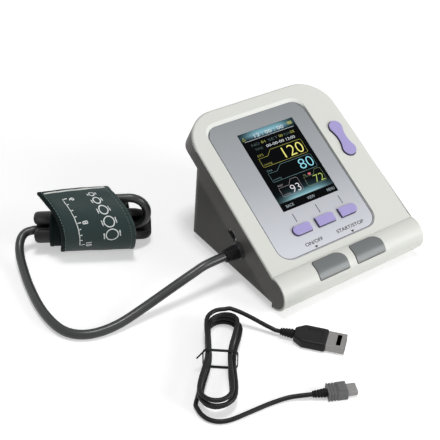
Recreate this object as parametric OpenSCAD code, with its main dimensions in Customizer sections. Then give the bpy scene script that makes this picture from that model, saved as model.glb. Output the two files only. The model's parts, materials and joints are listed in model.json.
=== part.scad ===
// Desk monitor that measures blood pressure, with its air hose, rolled cuff and data lead.
// Millimetres, +Z up, +Y to the back, the origin on the table at the middle of the base.

/* [Housing] */
// Width of the housing across the face
body_w = 110; // [106:1:118]
// Height of the housing above the table
body_h = 80; // [78:1:86]
// Slope of the face above the horizontal, in degrees
face_slope = 30; // [29:0.5:32]
// Height of the crease between the face and the front bar
crease_z = 22.4; // [21.8:0.1:23]
// Depth from the crease to the foot of the back wall
stand_d = 91; // [89:1:95]
// Lean of the back wall, in degrees
back_lean = 5.5; // [4.5:0.5:6.5]
// Thickness of the head behind the face
head_t = 17.5; // [16.5:0.5:19]
// Radius of the head's two top corners
corner_r = 23; // [20:1:26]
// Radius of the head's back edge
edge_r = 9; // [8:0.5:9.5]
// Radius of the stand's lower edges
foot_edge_r = 5; // [4:0.5:6]
// Radius of the stand's lower back edge
heel_r = 8; // [6:0.5:9]
// Radius of the stand's two upright back edges
back_r = 9; // [8:0.5:11]
// Wall thickness of both covers
wall = 2.4; // [2:0.1:2.8]
// Thickness of the face plate
plate_t = 3; // [2.6:0.1:3.4]
// Height of the front cover's edge that shows at the sides
lip_t = 1.2; // [1:0.1:1.6]
// Gap between the front cover's inner step and the rear cover's wall
lip_gap = 0.15; // [0.1:0.05:0.3]
// Radius of the round bar along the front
bar_r = 11; // [10.5:0.1:11.5]
// Distance of the bar's axis in front of the crease
bar_ahead = 1.5; // [1.2:0.1:1.8]

/* [Feet and screws] */
// Height of the base above the table
foot_h = 1.2; // [0.8:0.1:2]
// Diameter of a rubber foot
foot_d = 9; // [7:0.5:11]
// Depth of a foot's recess in the base
foot_sink = 0.6; // [0.4:0.1:1]
// Distance of the feet from the side walls
foot_in = 13; // [11:1:18]
// Distance of a pair of feet from the ends of the base
foot_end = 9; // [8:1:12]
// Diameter of a housing screw
screw_d = 2.8; // [2.4:0.1:3]
// Diameter of a housing screw's head
screw_head_d = 5; // [4.6:0.1:5.4]
// Height of a housing screw's head
screw_head_h = 2; // [1.6:0.1:2.4]
// Wall of a screw post
post_wall = 1.8; // [1.5:0.1:2]
// Radial clearance of a screw or pin in its hole
pin_gap = 0.05; // [0.02:0.01:0.08]
// Side clearance of a screw head in its hole
head_gap = 0.4; // [0.3:0.1:0.6]

/* [Panel and screen] */
// Width of the recessed panel
panel_w = 75.2; // [74:0.2:76]
// Distance of the panel's upper edge below the face's
panel_top = 11.6; // [10.6:0.1:13]
// Distance of the panel's middle left of the housing's middle
panel_left = 5.8; // [5.4:0.1:6.2]
// Distance of the panel above the crease
panel_up = 5.6; // [4.8:0.1:6.2]
// Corner radius of the panel
panel_r = 9; // [7:0.5:10]
// Thickness of the panel
panel_t = 1; // [0.8:0.1:1.2]
// Depth of the panel's surface below the face
panel_sink = 0.9; // [0.6:0.1:1]
// Gap round the panel
panel_gap = 0.15; // [0.1:0.05:0.25]
// Width of the screen
screen_w = 43.2; // [42:0.2:44]
// Distance of the screen's upper edge below the panel's
screen_top = 10.7; // [10:0.1:12]
// Distance of the screen's middle left of the housing's middle
screen_left = 2.6; // [2.2:0.1:3]
// Distance of the screen above the crease
screen_up = 35.3; // [35:0.1:36]
// Thickness of the display module
lcd_t = 3.2; // [2.8:0.1:3.6]
// Border of the display module beside the screen
lcd_border = 3.4; // [2.6:0.1:4]
// Border of the display module above and below the screen
lcd_end = 5; // [4:0.1:5.4]

/* [Soft keys] */
// Width of a soft key
key_w = 13.2; // [12.4:0.2:14.4]
// Height of a soft key up the face
key_h = 6.2; // [5.8:0.2:7]
// Distance from one soft key to the next
key_pitch = 18.1; // [17.6:0.1:18.6]
// Distance of the row's middle left of the housing's middle
key_left_of_mid = 1.6; // [1.4:0.1:2.4]
// Distance of the keys' middle above the crease
key_up = 20.9; // [20.4:0.1:21.4]
// Height of a key above the panel
key_rise = 1.5; // [1:0.1:2]
// Gap round a key
key_gap = 0.25; // [0.2:0.05:0.4]
// Travel of a key
key_travel = 0.8; // [0.5:0.1:1]

/* [Rocker key] */
// Radius of the rocker's two lobes
nav_r = 4.7; // [4.4:0.1:5]
// Distance between the middles of the two lobes
nav_span = 17.2; // [16.4:0.2:18]
// Width of the rocker's waist
nav_waist = 6; // [5:0.2:7]
// Distance of the rocker's middle in from the face's right edge
nav_in = 11.8; // [11.2:0.1:12]
// Distance of the rocker's middle above the crease
nav_up = 66.8; // [64:0.2:70]
// Gap round the rocker
nav_gap = 0.45; // [0.4:0.05:0.6]
// Tilt of the rocker to either side, in degrees
nav_tilt = 3.5; // [2:0.5:4]
// Diameter of the rocker's pivot pin
nav_pin_d = 2; // [1.6:0.1:2.2]

/* [Bar buttons] */
// Width of a button on the front bar
button_w = 22.6; // [21:0.2:23]
// Angle of the bar that a button covers, in degrees
button_arc = 66; // [60:1:68]
// Lean of the buttons' middle from the vertical, in degrees
button_lean = 33; // [31:1:35]
// Distance from one bar button to the other
button_pitch = 28.8; // [28:0.2:30]
// Distance of the pair's middle left of the housing's middle
button_left = 2.4; // [2:0.1:3]
// Height of a button above the bar
button_rise = 0.5; // [0.3:0.1:0.8]
// Gap round a button
button_gap = 0.3; // [0.2:0.05:0.4]
// Radius of a button's large corner
button_big_r = 6.4; // [5:0.2:7]
// Travel of a bar button
button_travel = 0.8; // [0.5:0.1:1]

/* [Battery bay] */
// Diameter of a battery cell
cell_d = 14.2; // [13.8:0.1:14.5]
// Length of a battery cell with its nub
cell_l = 50; // [49:0.2:50.5]
// Height of the battery door
door_h = 31; // [30:0.5:31.5]
// Height of the door's foot up the back wall
door_up = 7.6; // [7.4:0.1:8]
// Distance of the battery bay left of the housing's middle
bay_left = 3; // [2:0.5:6]
// Gap round the door
door_gap = 0.3; // [0.2:0.05:0.5]
// Swing of the door, in degrees
door_swing = 95; // [60:5:100]
// Diameter of the door's pivot pins
door_pin_d = 1.4; // [1.2:0.1:1.5]

/* [Pump and valve] */
// Diameter of the pump motor
motor_d = 20; // [18:0.5:20.5]
// Length of the pump motor
motor_l = 25; // [22:1:26]
// Diameter of the pump head
pump_d = 22; // [20:0.5:22]
// Length of the pump head
pump_l = 18; // [16:1:20]
// Diameter of the motor shaft
shaft_d = 2; // [1.5:0.1:2.5]
// Diameter of the release valve
valve_d = 14; // [12:0.5:15]
// Length of the release valve
valve_l = 20; // [18:1:22]
// Travel of the valve's plunger
valve_travel = 1; // [0.6:0.1:1.4]
// Diameter of the air tubes inside
tube_d = 5; // [4.4:0.1:5.4]

/* [Air hose and cuff] */
// Diameter of the air hose
hose_d = 5.6; // [5:0.1:6]
// Distance of the hose socket behind the crease
hose_back = 33.5; // [33:0.5:34]
// Height of the hose socket above the table
hose_z = 21.5; // [21:0.5:22]
// Diameter of the collar round the hose socket
collar_d = 11; // [10:0.5:12]
// Length of the ribbed boot on the hose
boot_l = 9; // [9:1:9]
// Width of the cuff
cuff_w = 46; // [44:1:48]
// Thickness of the cuff's sheet
cuff_t = 2; // [1.6:0.1:2.2]
// Radius of the cuff's outer turn
cuff_r = 20.3; // [20:0.1:20.6]
// Radius of the cuff's inner turn
cuff_in_r = 11.5; // [11.3:0.1:11.7]
// Thickness of the air bladder
bladder_t = 5.5; // [4.5:0.1:5.8]

/* [Data lead] */
// Diameter of the data lead
lead_d = 2.5; // [2.4:0.1:2.6]
// Half length of the hank's straight runs
hank_run = 25.4; // [25:0.1:26]
// Radius of the hank's smallest fold
fold_r = 7.5; // [7.3:0.1:7.7]
// Width of the large plug's metal shell
plug_shell_w = 12; // [11:0.1:12.4]
// Width of the small plug's metal shell
mini_shell_w = 6.4; // [6:0.1:6.8]

/* [Hidden] */
$fn = 48;
eps = 0.01;

// The face's frame: s runs up the face from the crease, n stands out of it
crease_y = -stand_d/2;
back_y = stand_d/2;
half_w = body_w/2;
face_len = (body_h - crease_z)/sin(face_slope);
panel_l = face_len - panel_up - panel_top;
screen_h = panel_up + panel_l - screen_top - screen_up;
bar_y = crease_y - bar_ahead;
bar_z = foot_h + bar_r;
stand_top_n = -(head_t - edge_r) + 1;
// How far the stand's sides lie inside the head's
stand_in = 0.02;
// Distance of the stand's inner side walls from the middle
in_x = half_w - stand_in - wall;
floor_z = foot_h + wall;
function on_face(s, n) = [
  crease_y + s*cos(face_slope) - n*sin(face_slope),
  crease_z + s*sin(face_slope) + n*cos(face_slope)
];
// Height of the plane n over the point y
function face_z(y, n) = crease_z + (y - crease_y)*tan(face_slope) + n/cos(face_slope);
// Point of the back wall's line at height z, drawn in by i
function back_wall_y(z, i) = back_y - (z - foot_h)*tan(back_lean) - i/cos(back_lean);

module in_face() {
  translate([0, crease_y, crease_z]) rotate([face_slope, 0, 0]) children();
}
module on_back() {
  translate([0, back_y, foot_h]) rotate([back_lean, 0, 0]) children();
}
module on_bar() {
  translate([0, bar_y, bar_z]) rotate([button_lean, 0, 0]) children();
}
// A side profile in Y and Z, w wide and centred on x = 0
module across(w) {
  rotate([90, 0, 90]) translate([0, 0, -w/2]) linear_extrude(w) children();
}
// A cylinder from x0 to x1 along X at height z
module rod_x(x0, x1, d, y, z) {
  translate([x0, y, z]) rotate([0, 90, 0]) cylinder(d = d, h = x1 - x0);
}
// A cylinder from y0 to y1 along Y
module rod_y(y0, y1, d, x, z) {
  translate([x, y1, z]) rotate([90, 0, 0]) cylinder(d = d, h = y1 - y0);
}
module box(lo, hi) {
  translate(lo) cube(hi - lo);
}
// A rectangle with round corners, centred on the origin
module round_rect(w, h, r) {
  square([w - 2*r, h], center = true);
  square([w, h - 2*r], center = true);
  for (x = [-1, 1], y = [-1, 1]) translate([x*(w/2 - r), y*(h/2 - r)]) circle(r);
}
// What a round corner of radius r takes off the corner at the origin, in the quadrant of sx, sy
module corner_off(r, sx, sy) {
  mirror([sx < 0 ? 1 : 0, 0]) mirror([0, sy < 0 ? 1 : 0]) translate([-r, -r]) difference() {
    square(r + 1);
    circle(r);
  }
}

// Outline of the face in its own plane, drawn in by i
module face_outline(i, low = -5) {
  hw = half_w - i;
  top = face_len - i;
  r = corner_r - i;
  translate([-hw, low]) square([2*hw, top - r - low]);
  translate([r - hw, low]) square([2*(hw - r), top - low]);
  for (side = [-1, 1]) translate([side*(hw - r), top - r]) circle(r);
}
// The head behind the face, walls drawn in by i and the face by t
module head(i, t) {
  e = edge_r - i;
  hw = half_w - i;
  low = i - head_t;
  top = face_len - i;
  intersection() {
    in_face() translate([0, 0, low]) linear_extrude(-t - low) face_outline(i);
    in_face() translate([0, face_len, 0]) rotate([90, 0, 0]) linear_extrude(face_len + 10) {
      translate([-hw, low + e]) square([2*hw, head_t]);
      translate([e - hw, low]) square([2*(hw - e), head_t]);
      for (side = [-1, 1]) translate([side*(hw - e), low + e]) circle(e);
    }
    in_face() across(body_w + 2) {
      translate([-10, low]) square([top - e + 10, head_t]);
      translate([-10, low + e]) square([top + 10, head_t]);
      translate([top - e, low + e]) circle(e);
    }
  }
}
// The stand below the head, drawn in by i
module stand(i) {
  r = foot_edge_r - i;
  rb = back_r - i;
  hw = half_w - stand_in - i;
  low = foot_h + i;
  // Height at which the back wall meets the stand's top plane
  meet = (face_z(back_y, stand_top_n) + foot_h*tan(back_lean)*tan(face_slope))
         /(1 + tan(back_lean)*tan(face_slope));
  intersection() {
    across(body_w + 4) polygon([
      [bar_y, low],
      [back_wall_y(low, i), low],
      [back_wall_y(meet, i), meet],
      [crease_y + (bar_z - crease_z - stand_top_n/cos(face_slope))/tan(face_slope), bar_z],
      [bar_y, bar_z]
    ]);
    on_back() translate([0, 0, -20]) linear_extrude(2*body_h) {
      translate([-hw, -2*stand_d]) square([2*hw, 2*stand_d - rb - i]);
      translate([rb - hw, -2*stand_d]) square([2*(hw - rb), 2*stand_d - i]);
      for (side = [-1, 1]) translate([side*(hw - rb), -rb - i]) circle(rb);
    }
    translate([0, body_w, 0]) rotate([90, 0, 0]) linear_extrude(2*body_w) {
      translate([-hw, low + r]) square([2*hw, body_h]);
      translate([r - hw, low]) square([2*(hw - r), body_h]);
      for (side = [-1, 1]) translate([side*(hw - r), low + r]) circle(r);
    }
    across(body_w + 4) difference() {
      translate([bar_y - 1, low - 1]) square([2*stand_d, body_h]);
      translate([back_wall_y(low, i), low]) foot_cut(heel_r - i);
    }
  }
}
// The sharp bit under a round of radius r where the leaning wall meets the floor
module foot_cut(r) {
  // Distance from the corner to both tangent points
  reach = r/tan((90 - back_lean)/2);
  // The circle stands out this far past both lines, so that it crosses them
  over = 0.03;
  difference() {
    polygon([[2, -2], [-reach, -2], [-reach, 0], [-reach, r],
             [-reach*sin(back_lean), reach*cos(back_lean)], [2, reach]]);
    translate([over - reach, r - over]) circle(r);
  }
}
// The round bar along the front, drawn in by i
module bar(i) {
  across(body_w - stand_in - 2*i) translate([bar_y, bar_z]) difference() {
    circle(bar_r - i);
    translate([bar_ahead + 1 + i, -2*bar_r]) square(4*bar_r);
    translate([1, -4*bar_r - 1]) square(4*bar_r);
  }
}
module outer_form() {
  head(0, 0);
  stand(0);
  bar(0);
}
module inner_form() {
  head(wall, plate_t);
  stand(wall);
  bar(wall);
}
// Side profile of all that lies deeper than t under the face and under the bar's round
module under_skin(t) {
  translate([bar_y, bar_z]) circle(bar_r - t);
  translate([crease_y, crease_z]) rotate(face_slope) translate([0, -60]) square([face_len + 20, 60 - t]);
}
// The skin of the face and of the bar between two depths, drawn in at the sides by i
module front_skin(i, t0, t1) intersection() {
  across(body_w + 10) difference() {
    under_skin(t0);
    under_skin(t1);
    translate([bar_y, bar_z - 4*bar_r]) square(4*bar_r);
  }
  in_face() translate([0, 0, -60]) linear_extrude(80) face_outline(i, -60);
}

// Places on the face and inside it
panel_mid = [-panel_left, panel_up + panel_l/2];
screen_mid = [-screen_left, screen_up + screen_h/2];
key_x = [for (k = [-1:1]) k*key_pitch - key_left_of_mid];
nav_mid = [half_w - nav_in, nav_up];
pocket_n = -panel_sink - panel_t;
lcd_n = -plate_t - 0.2;
board_n = -11.6;
board_t = 1.6;
board_low_n = board_n - board_t;
switch_h = 3.4;
plunger_h = 0.6;
plunger_d = 3.4;
plunger_n = board_n + switch_h + plunger_h;
flange_t = 1;
flange_gap = 0.2;
flange_over = 1;
stem_d = 4;
press_gap = 0.1;
button_h = 2*bar_r*sin(button_arc/2);
button_x = [for (k = [-1, 1]) k*button_pitch/2 - button_left];
bar_board_z = -1.8;
bar_in_r = bar_r - wall;
rib_x = [button_x[0] - button_w/2 - 5, button_x[1] + button_w/2 + 5];
rib_t = 1.6;
// Housing screws: two behind the head's corners, two up through the base; where their posts end
post_end_n = -10.5;
post_end_z = 12;
head_post = [half_w - 11, face_len - 15.2];
base_post = [half_w - 15, crease_y + 10];
// The main board: its lower edge up the face, its distances from the sides, and its shoulder at the top
board_low_s = 10;
board_wide_s = 50;
board_in_low = 16.5;
board_in_left = 12.5;
board_in_right = 5.5;
board_shoulder_s = face_len - 25.2;
board_top_s = head_post[1];
board_top_x = head_post[0] - 5.5;
board_post = [
  [board_in_low + 3.5 - half_w, board_low_s + 4],
  [half_w - board_in_right - 3.5, board_low_s + 4],
  [board_in_left + 4.5 - half_w, board_shoulder_s - 4],
  [board_top_x - 4.5, board_top_s - 4]
];
post_d = screw_d + 2*pin_gap + 2*post_wall;
board_screw_d = 2.2;
board_post_d = board_screw_d + 2*post_wall;

// Outline of key k, grown by g: the end keys are round at their outer end
module key_outline(k, g = 0) {
  w = key_w + 2*g;
  h = key_h + 2*g;
  r = h/2;
  difference() {
    square([w, h], center = true);
    if (k != 0) for (y = [-1, 1]) translate([k*w/2, y*h/2]) corner_off(r - eps, k, y);
    if (k != 1) translate([w/2, h/2]) corner_off(1.6, 1, 1);
  }
}
// Outline of the rocker: two lobes and a waist, grown by g
module nav_outline(g = 0) {
  r = nav_r + g;
  half = nav_span/2;
  w = nav_waist/2 + g;
  // Circles beside the waist hollow its sides between the lobes
  hollow = (half*half + w*w - r*r)/(2*(r - w));
  difference() {
    union() {
      for (y = [-half, half]) translate([0, y]) circle(r);
      translate([-r + eps, -half]) square([2*r - 2*eps, 2*half]);
    }
    for (x = [-1, 1]) translate([x*(w + hollow), 0]) circle(hollow);
  }
}
// Outline of a button on the bar, grown by g
module button_outline(g = 0) {
  w = button_w + 2*g;
  h = button_h + 2*g;
  difference() {
    square([w, h], center = true);
    translate([w/2, h/2]) corner_off(button_big_r + g, 1, 1);
    translate([-w/2, h/2]) corner_off(2 + g, -1, 1);
    for (x = [-1, 1]) translate([x*w/2, -h/2]) corner_off(0.6 + g, x, -1);
  }
}
// The bar's cylinder between two radii, in the buttons' own frame
module bar_shell(r1, r0) {
  rotate([0, 90, 0]) difference() {
    translate([0, 0, -half_w]) cylinder(r = r1, h = body_w);
    translate([0, 0, -half_w - 1]) cylinder(r = r0, h = body_w + 2);
  }
}

module front_cover() color([0.84, 0.84, 0.82]) difference() {
  union() {
    front_skin(0, 0, lip_t);
    front_skin(wall + lip_gap, lip_t/2, plate_t);
    for (p = board_post) in_face() translate([p[0], p[1], board_n])
      cylinder(d = board_post_d, h = -plate_t - board_n + eps);
    for (side = [-1, 1]) {
      in_face() translate([side*head_post[0], head_post[1], post_end_n])
        cylinder(d = post_d, h = -post_end_n - plate_t + eps);
      intersection() {
        translate([side*base_post[0], base_post[1], post_end_z]) cylinder(d = post_d, h = body_h);
        in_face() translate([-half_w, -20, -50]) cube([body_w, 60, 50 - plate_t + eps]);
      }
    }
    // Ears under the face for the rocker's pin
    for (side = [-1, 1]) in_face()
      translate([nav_mid[0] + side*(nav_r + 1.6) - 0.9, nav_mid[1] - 2.6, nav_pin_n - 2.2])
        cube([1.8, 5.2, -plate_t - nav_pin_n + 2.2 + eps]);
    // Ribs in the bar that hold the button board
    for (x = rib_x) translate([x, 0, 0]) across(rib_t) translate([bar_y, bar_z]) difference() {
      circle(bar_in_r + 0.2);
      translate([bar_ahead, -bar_r]) square([bar_r, 2*bar_r]);
      translate([-2, -bar_r]) square([bar_r, 4]);
    }
  }
  // Recess for the panel and the window under it
  in_face() translate([panel_mid[0], panel_mid[1], pocket_n]) linear_extrude(5)
    round_rect(panel_w + 2*panel_gap, panel_l + 2*panel_gap, panel_r + panel_gap);
  in_face() translate([screen_mid[0], screen_mid[1], -10]) linear_extrude(10)
    square([screen_w - 1, screen_h - 1], center = true);
  for (k = [-1:1]) in_face() translate([key_x[k + 1], key_up, -10]) linear_extrude(10)
    key_outline(k, key_gap);
  in_face() translate([nav_mid[0], nav_mid[1], -5]) linear_extrude(10) nav_outline(nav_gap);
  for (x = button_x) on_bar() translate([x, 0, 0]) linear_extrude(2*bar_r)
    button_outline(button_gap);
  in_face() translate([nav_mid[0] - nav_pin_l/2 - 1, nav_mid[1], nav_pin_n]) rotate([0, 90, 0])
    cylinder(d = nav_pin_d + 2*pin_gap, h = nav_pin_l + 2);
  // Pilot holes in the posts
  for (p = board_post) in_face() translate([p[0], p[1], board_n - 1])
    cylinder(d = board_screw_d + 2*pin_gap, h = 7);
  for (side = [-1, 1]) {
    in_face() translate([side*head_post[0], head_post[1], post_end_n - 1])
      cylinder(d = screw_d + 2*pin_gap, h = 7);
    translate([side*base_post[0], base_post[1], post_end_z - 1]) cylinder(d = screw_d + 2*pin_gap, h = 7.5);
  }
}

// Parts inside the stand
ledge_t = 2;
tray_wall = 1.4;
contact_t = 0.4;
tray_in = cell_l + 2*contact_t + 0.6;
tray_w = tray_in + 2*tray_wall;
cell_pitch = cell_d + 0.5;
cell_y = [back_y - 5.8 - 1.5*cell_pitch - 0.7, back_y - 5.8 - 0.5*cell_pitch - 0.7];
cell_z = [floor_z + tray_wall + 0.3 + cell_d/2, floor_z + tray_wall + 0.3 + cell_d/2 + cell_pitch];
tray_back = back_y - 7.2;
tray_front = cell_y[0] - cell_d/2 - 0.4 - tray_wall;
tray_top = cell_z[1] + cell_d/2 - 3;
door_w = tray_w + 2;
door_t = 2;
door_pivot = [-wall/2, door_up + wall/2];
door_pin_l = 2.4;
pump_x = half_w - wall - pump_d/2 - 0.8;
pump_z = floor_z + pump_d/2 + 0.6;
pump_y = crease_y + 36;
motor_y = pump_y + pump_l;
shaft_y = pump_y + 11;
crank_r = 4;
crank_off = 1.4;
valve_x = -half_w + foot_edge_r + valve_d/2 + 0.2;
valve_y = crease_y + 66;
valve_top = floor_z + valve_l;
spring_h = 4;
spring_wire = 0.5;
spring_r = 2.3;
rod_d = 3;
saddle_t = 3;
saddle_gap = 0.3;
hose_y = crease_y + hose_back;
collar_t = 1;
plug_rim_t = 0.8;
spigot_d = 6;
plug_stem_d = 4;
block_in = 7;
block_w = 8.5;
block_lo = [block_in - half_w, hose_y - 5, floor_z + 6];
block_hi = [block_in + block_w - half_w, hose_y + 12, floor_z + 15.5];
block_top = hose_z + 3.8;
block_step_y = hose_y + 3.6;
air_y = block_hi[1] - 4;
air_z = block_hi[2] - 4;
usb_s = 38.7;
usb_w = 7.7;
usb_h = 3.9;
usb_n = board_low_n - usb_h/2;
usb_l = 9;
usb_tab_in = 5;
jack_y = crease_y + 65;
jack_z = 35.5;
jack_d = 8;
jack_size = 9;
foot_x = half_w - foot_in;
foot_y = [crease_y + 12 + foot_end, back_y - 5 - foot_end];
pad_w = 34;
pad_l = 16;

module rear_cover() color([0.29, 0.29, 0.27]) difference() {
  union() {
    difference() {
      outer_form();
      inner_form();
      front_skin(-1, -5, lip_t);
      front_skin(wall - 0.03, -5, plate_t + lip_gap);
    }
    for (side = [-1, 1]) {
      in_face() translate([side*head_post[0], head_post[1], -head_t + 0.5])
        cylinder(d = screw_head_d + 2*head_gap + 2*post_wall, h = head_t - 0.5 + post_end_n);
      translate([side*base_post[0], base_post[1], foot_h + 0.5])
        cylinder(d = screw_head_d + 2*head_gap + 2*post_wall, h = post_end_z - foot_h - 0.5);
      // Lugs for the door's pins
      on_back() translate([side*(door_w/2 + 1.6) - 1.6 - bay_left, door_pivot[0] - 2.6, door_pivot[1] - 2.4])
        cube([3.2, 2.6, 4.8]);
    }
    // Saddles under the pump
    for (y = [pump_y + 3, motor_y + 4, motor_y + motor_l - 6])
      box([pump_x - 7, y, floor_z - eps], [pump_x + 7, y + saddle_t, pump_z - 4]);
  }
  rod_y(pump_y - 1, motor_y, pump_d + 2*saddle_gap, pump_x, pump_z);
  rod_y(motor_y, motor_y + motor_l + 1, motor_d + 2*saddle_gap, pump_x, pump_z);
  for (side = [-1, 1]) {
    in_face() translate([side*head_post[0], head_post[1], -head_t - 2])
      cylinder(d = screw_head_d + 2*head_gap, h = head_t + 2 + post_end_n - ledge_t);
    in_face() translate([side*head_post[0], head_post[1], -head_t])
      cylinder(d = screw_d + 2*pin_gap, h = head_t);
    translate([side*base_post[0], base_post[1], 0])
      cylinder(d = screw_head_d + 2*head_gap, h = post_end_z - ledge_t);
    translate([side*base_post[0], base_post[1], 0]) cylinder(d = screw_d + 2*pin_gap, h = 14);
    for (y = foot_y) translate([side*foot_x, y, 0]) cylinder(d = foot_d + 0.2, h = foot_h + foot_sink);
  }
  box([-pad_w/2 - 0.1, -pad_l/2 - 0.1, 0], [pad_w/2 + 0.1, pad_l/2 + 0.1, foot_h + foot_sink]);
  // Battery opening and the door's pin holes
  on_back() translate([-door_w/2 - bay_left, -8, door_up - door_gap])
    cube([door_w, 10, door_h + door_gap]);
  on_back() translate([-door_w/2 - 4 - bay_left, door_pivot[0], door_pivot[1]]) rotate([0, 90, 0])
    cylinder(d = door_pin_d + 2*pin_gap, h = door_w + 8);
  rod_x(-half_w - 1, -half_w + wall + 1, collar_d - 2 + 2*pin_gap, hose_y, hose_z);
  in_face() translate([-half_w - 1, usb_s - usb_w/2 - 0.2, usb_n - usb_h/2 - 0.2])
    cube([wall + 2, usb_w + 0.4, usb_h + 0.4]);
  rod_x(half_w - wall - 1, half_w + 1, jack_d + 0.2, jack_y, jack_z);
}

module display_panel() color([0.7, 0.7, 0.75]) in_face() difference() {
  translate([panel_mid[0], panel_mid[1], pocket_n]) linear_extrude(panel_t)
    round_rect(panel_w, panel_l, panel_r);
  translate([screen_mid[0], screen_mid[1], pocket_n - 1]) linear_extrude(5)
    square([screen_w + 0.2, screen_h + 0.2], center = true);
  for (k = [-1:1]) translate([key_x[k + 1], key_up, pocket_n - 1]) linear_extrude(5)
    key_outline(k, key_gap);
}
module lcd_window() color([0.08, 0.09, 0.1]) in_face()
  translate([screen_mid[0], screen_mid[1], pocket_n]) linear_extrude(panel_t - 0.1)
    square([screen_w, screen_h], center = true);
module lcd_module() color([0.15, 0.16, 0.17]) in_face()
  translate([screen_mid[0], screen_mid[1], lcd_n - lcd_t]) linear_extrude(lcd_t)
    square([screen_w + 2*lcd_border, screen_h + 2*lcd_end], center = true);
module lcd_frame() color([0.8, 0.8, 0.78]) in_face()
  translate([screen_mid[0], screen_mid[1], board_n]) linear_extrude(lcd_n - lcd_t - board_n)
    difference() {
      square([screen_w + 2*lcd_border, screen_h + 2*lcd_end], center = true);
      square([screen_w + 2*lcd_border - 3.2, screen_h + 2*lcd_end - 3.2], center = true);
    }

// A soft key: cap, flange behind the plate and stem over its switch
module soft_key(k) color([0.67, 0.6, 0.86]) in_face() translate([key_x[k + 1], key_up, 0]) {
  top = key_rise - panel_sink;
  under = -plate_t - flange_gap;
  translate([0, 0, under]) linear_extrude(top - under) key_outline(k);
  translate([0, 0, under - flange_t]) linear_extrude(flange_t)
    square([key_w + 2*flange_over, key_h + 2*flange_over], center = true);
  translate([0, 0, plunger_n + key_travel + press_gap])
    cylinder(d = stem_d, h = under - plunger_n - key_travel - press_gap);
}
module key_left() soft_key(-1);
module key_middle() soft_key(0);
module key_right() soft_key(1);

nav_pin_n = -5.6;
nav_pin_l = 2*nav_r + 4.8;
module nav_key() color([0.67, 0.6, 0.86]) in_face() translate([nav_mid[0], nav_mid[1], 0]) {
  low = plunger_n + (nav_span/2 + stem_d/2)*sin(nav_tilt) + press_gap;
  difference() {
    union() {
      translate([0, 0, -2.8]) linear_extrude(4) nav_outline();
      translate([-nav_waist/2, -2.4, nav_pin_n]) cube([nav_waist, 4.8, 4]);
      translate([-nav_waist/2, 0, nav_pin_n]) rotate([0, 90, 0]) cylinder(d = 4.8, h = nav_waist);
    }
    translate([-nav_waist, 0, nav_pin_n]) rotate([0, 90, 0])
      cylinder(d = nav_pin_d + 2*pin_gap, h = 2*nav_waist);
  }
  for (y = [-1, 1]) translate([0, y*nav_span/2, low]) cylinder(d = stem_d, h = -2.8 - low + eps);
}
module nav_pin() color([0.75, 0.75, 0.76]) in_face()
  translate([nav_mid[0] - nav_pin_l/2, nav_mid[1], nav_pin_n]) rotate([0, 90, 0])
    cylinder(d = nav_pin_d, h = nav_pin_l);

bar_plunger_z = bar_board_z + board_t + switch_h + plunger_h;
flange_r = bar_r - plate_t - 0.2;
// A button on the bar: curved cap, flange behind the bar's wall and stem over its switch
module bar_button(k) color([0.5, 0.52, 0.52]) on_bar() translate([button_x[k], 0, 0]) {
  intersection() {
    translate([0, 0, 3.6]) linear_extrude(bar_r) button_outline();
    bar_shell(bar_r + button_rise, flange_r - 0.5);
  }
  intersection() {
    translate([0, 0, 3.6]) linear_extrude(bar_r)
      square([button_w + 2*flange_over, button_h + 2*flange_over], center = true);
    bar_shell(flange_r, flange_r - flange_t);
  }
  low = bar_plunger_z + button_travel + press_gap;
  translate([0, 0, low]) cylinder(d = stem_d, h = flange_r - 0.5 - low);
}
module power_button() bar_button(0);
module start_button() bar_button(1);

module main_board() color([0.1, 0.38, 0.2]) in_face() difference() {
  translate([0, 0, board_low_n]) linear_extrude(board_t) {
    translate([board_in_low - half_w, board_low_s])
      square([2*half_w - board_in_low - board_in_right, board_shoulder_s - board_low_s]);
    translate([board_in_left - half_w, board_wide_s]) square([20, board_shoulder_s - board_wide_s]);
    translate([-board_top_x, board_low_s]) square([2*board_top_x, board_top_s - board_low_s]);
    // Tab under the data socket
    translate([usb_tab_in - half_w, usb_s - 6.7]) square([20, 18]);
  }
  for (p = board_post) translate([p[0], p[1], board_low_n - 1])
    cylinder(d = board_screw_d + 2*pin_gap, h = 4);
}
module board_screws() color([0.75, 0.75, 0.76]) in_face() for (p = board_post)
  translate([p[0], p[1], board_low_n]) {
    translate([0, 0, -1.6]) cylinder(d = 4.4, h = 1.6);
    cylinder(d = board_screw_d, h = 6);
  }
// A switch standing on the plane z = 0
module switch() {
  translate([-3, -3, 0]) cube([6, 6, switch_h]);
  cylinder(d = plunger_d, h = switch_h + plunger_h);
}
module tact_switches() color([0.15, 0.15, 0.15]) in_face() {
  for (x = key_x) translate([x, key_up, board_n]) switch();
  for (y = [-1, 1]) translate([nav_mid[0], nav_mid[1] + y*nav_span/2, board_n]) switch();
}
module button_board() color([0.1, 0.38, 0.2]) on_bar()
  box([rib_x[0] + rib_t/2 + 0.1, -6.8, bar_board_z], [rib_x[1] - rib_t/2 - 0.1, 6.8, bar_board_z + board_t]);
module button_switches() color([0.15, 0.15, 0.15]) on_bar()
  for (x = button_x) translate([x, 0, bar_board_z + board_t]) switch();
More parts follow.
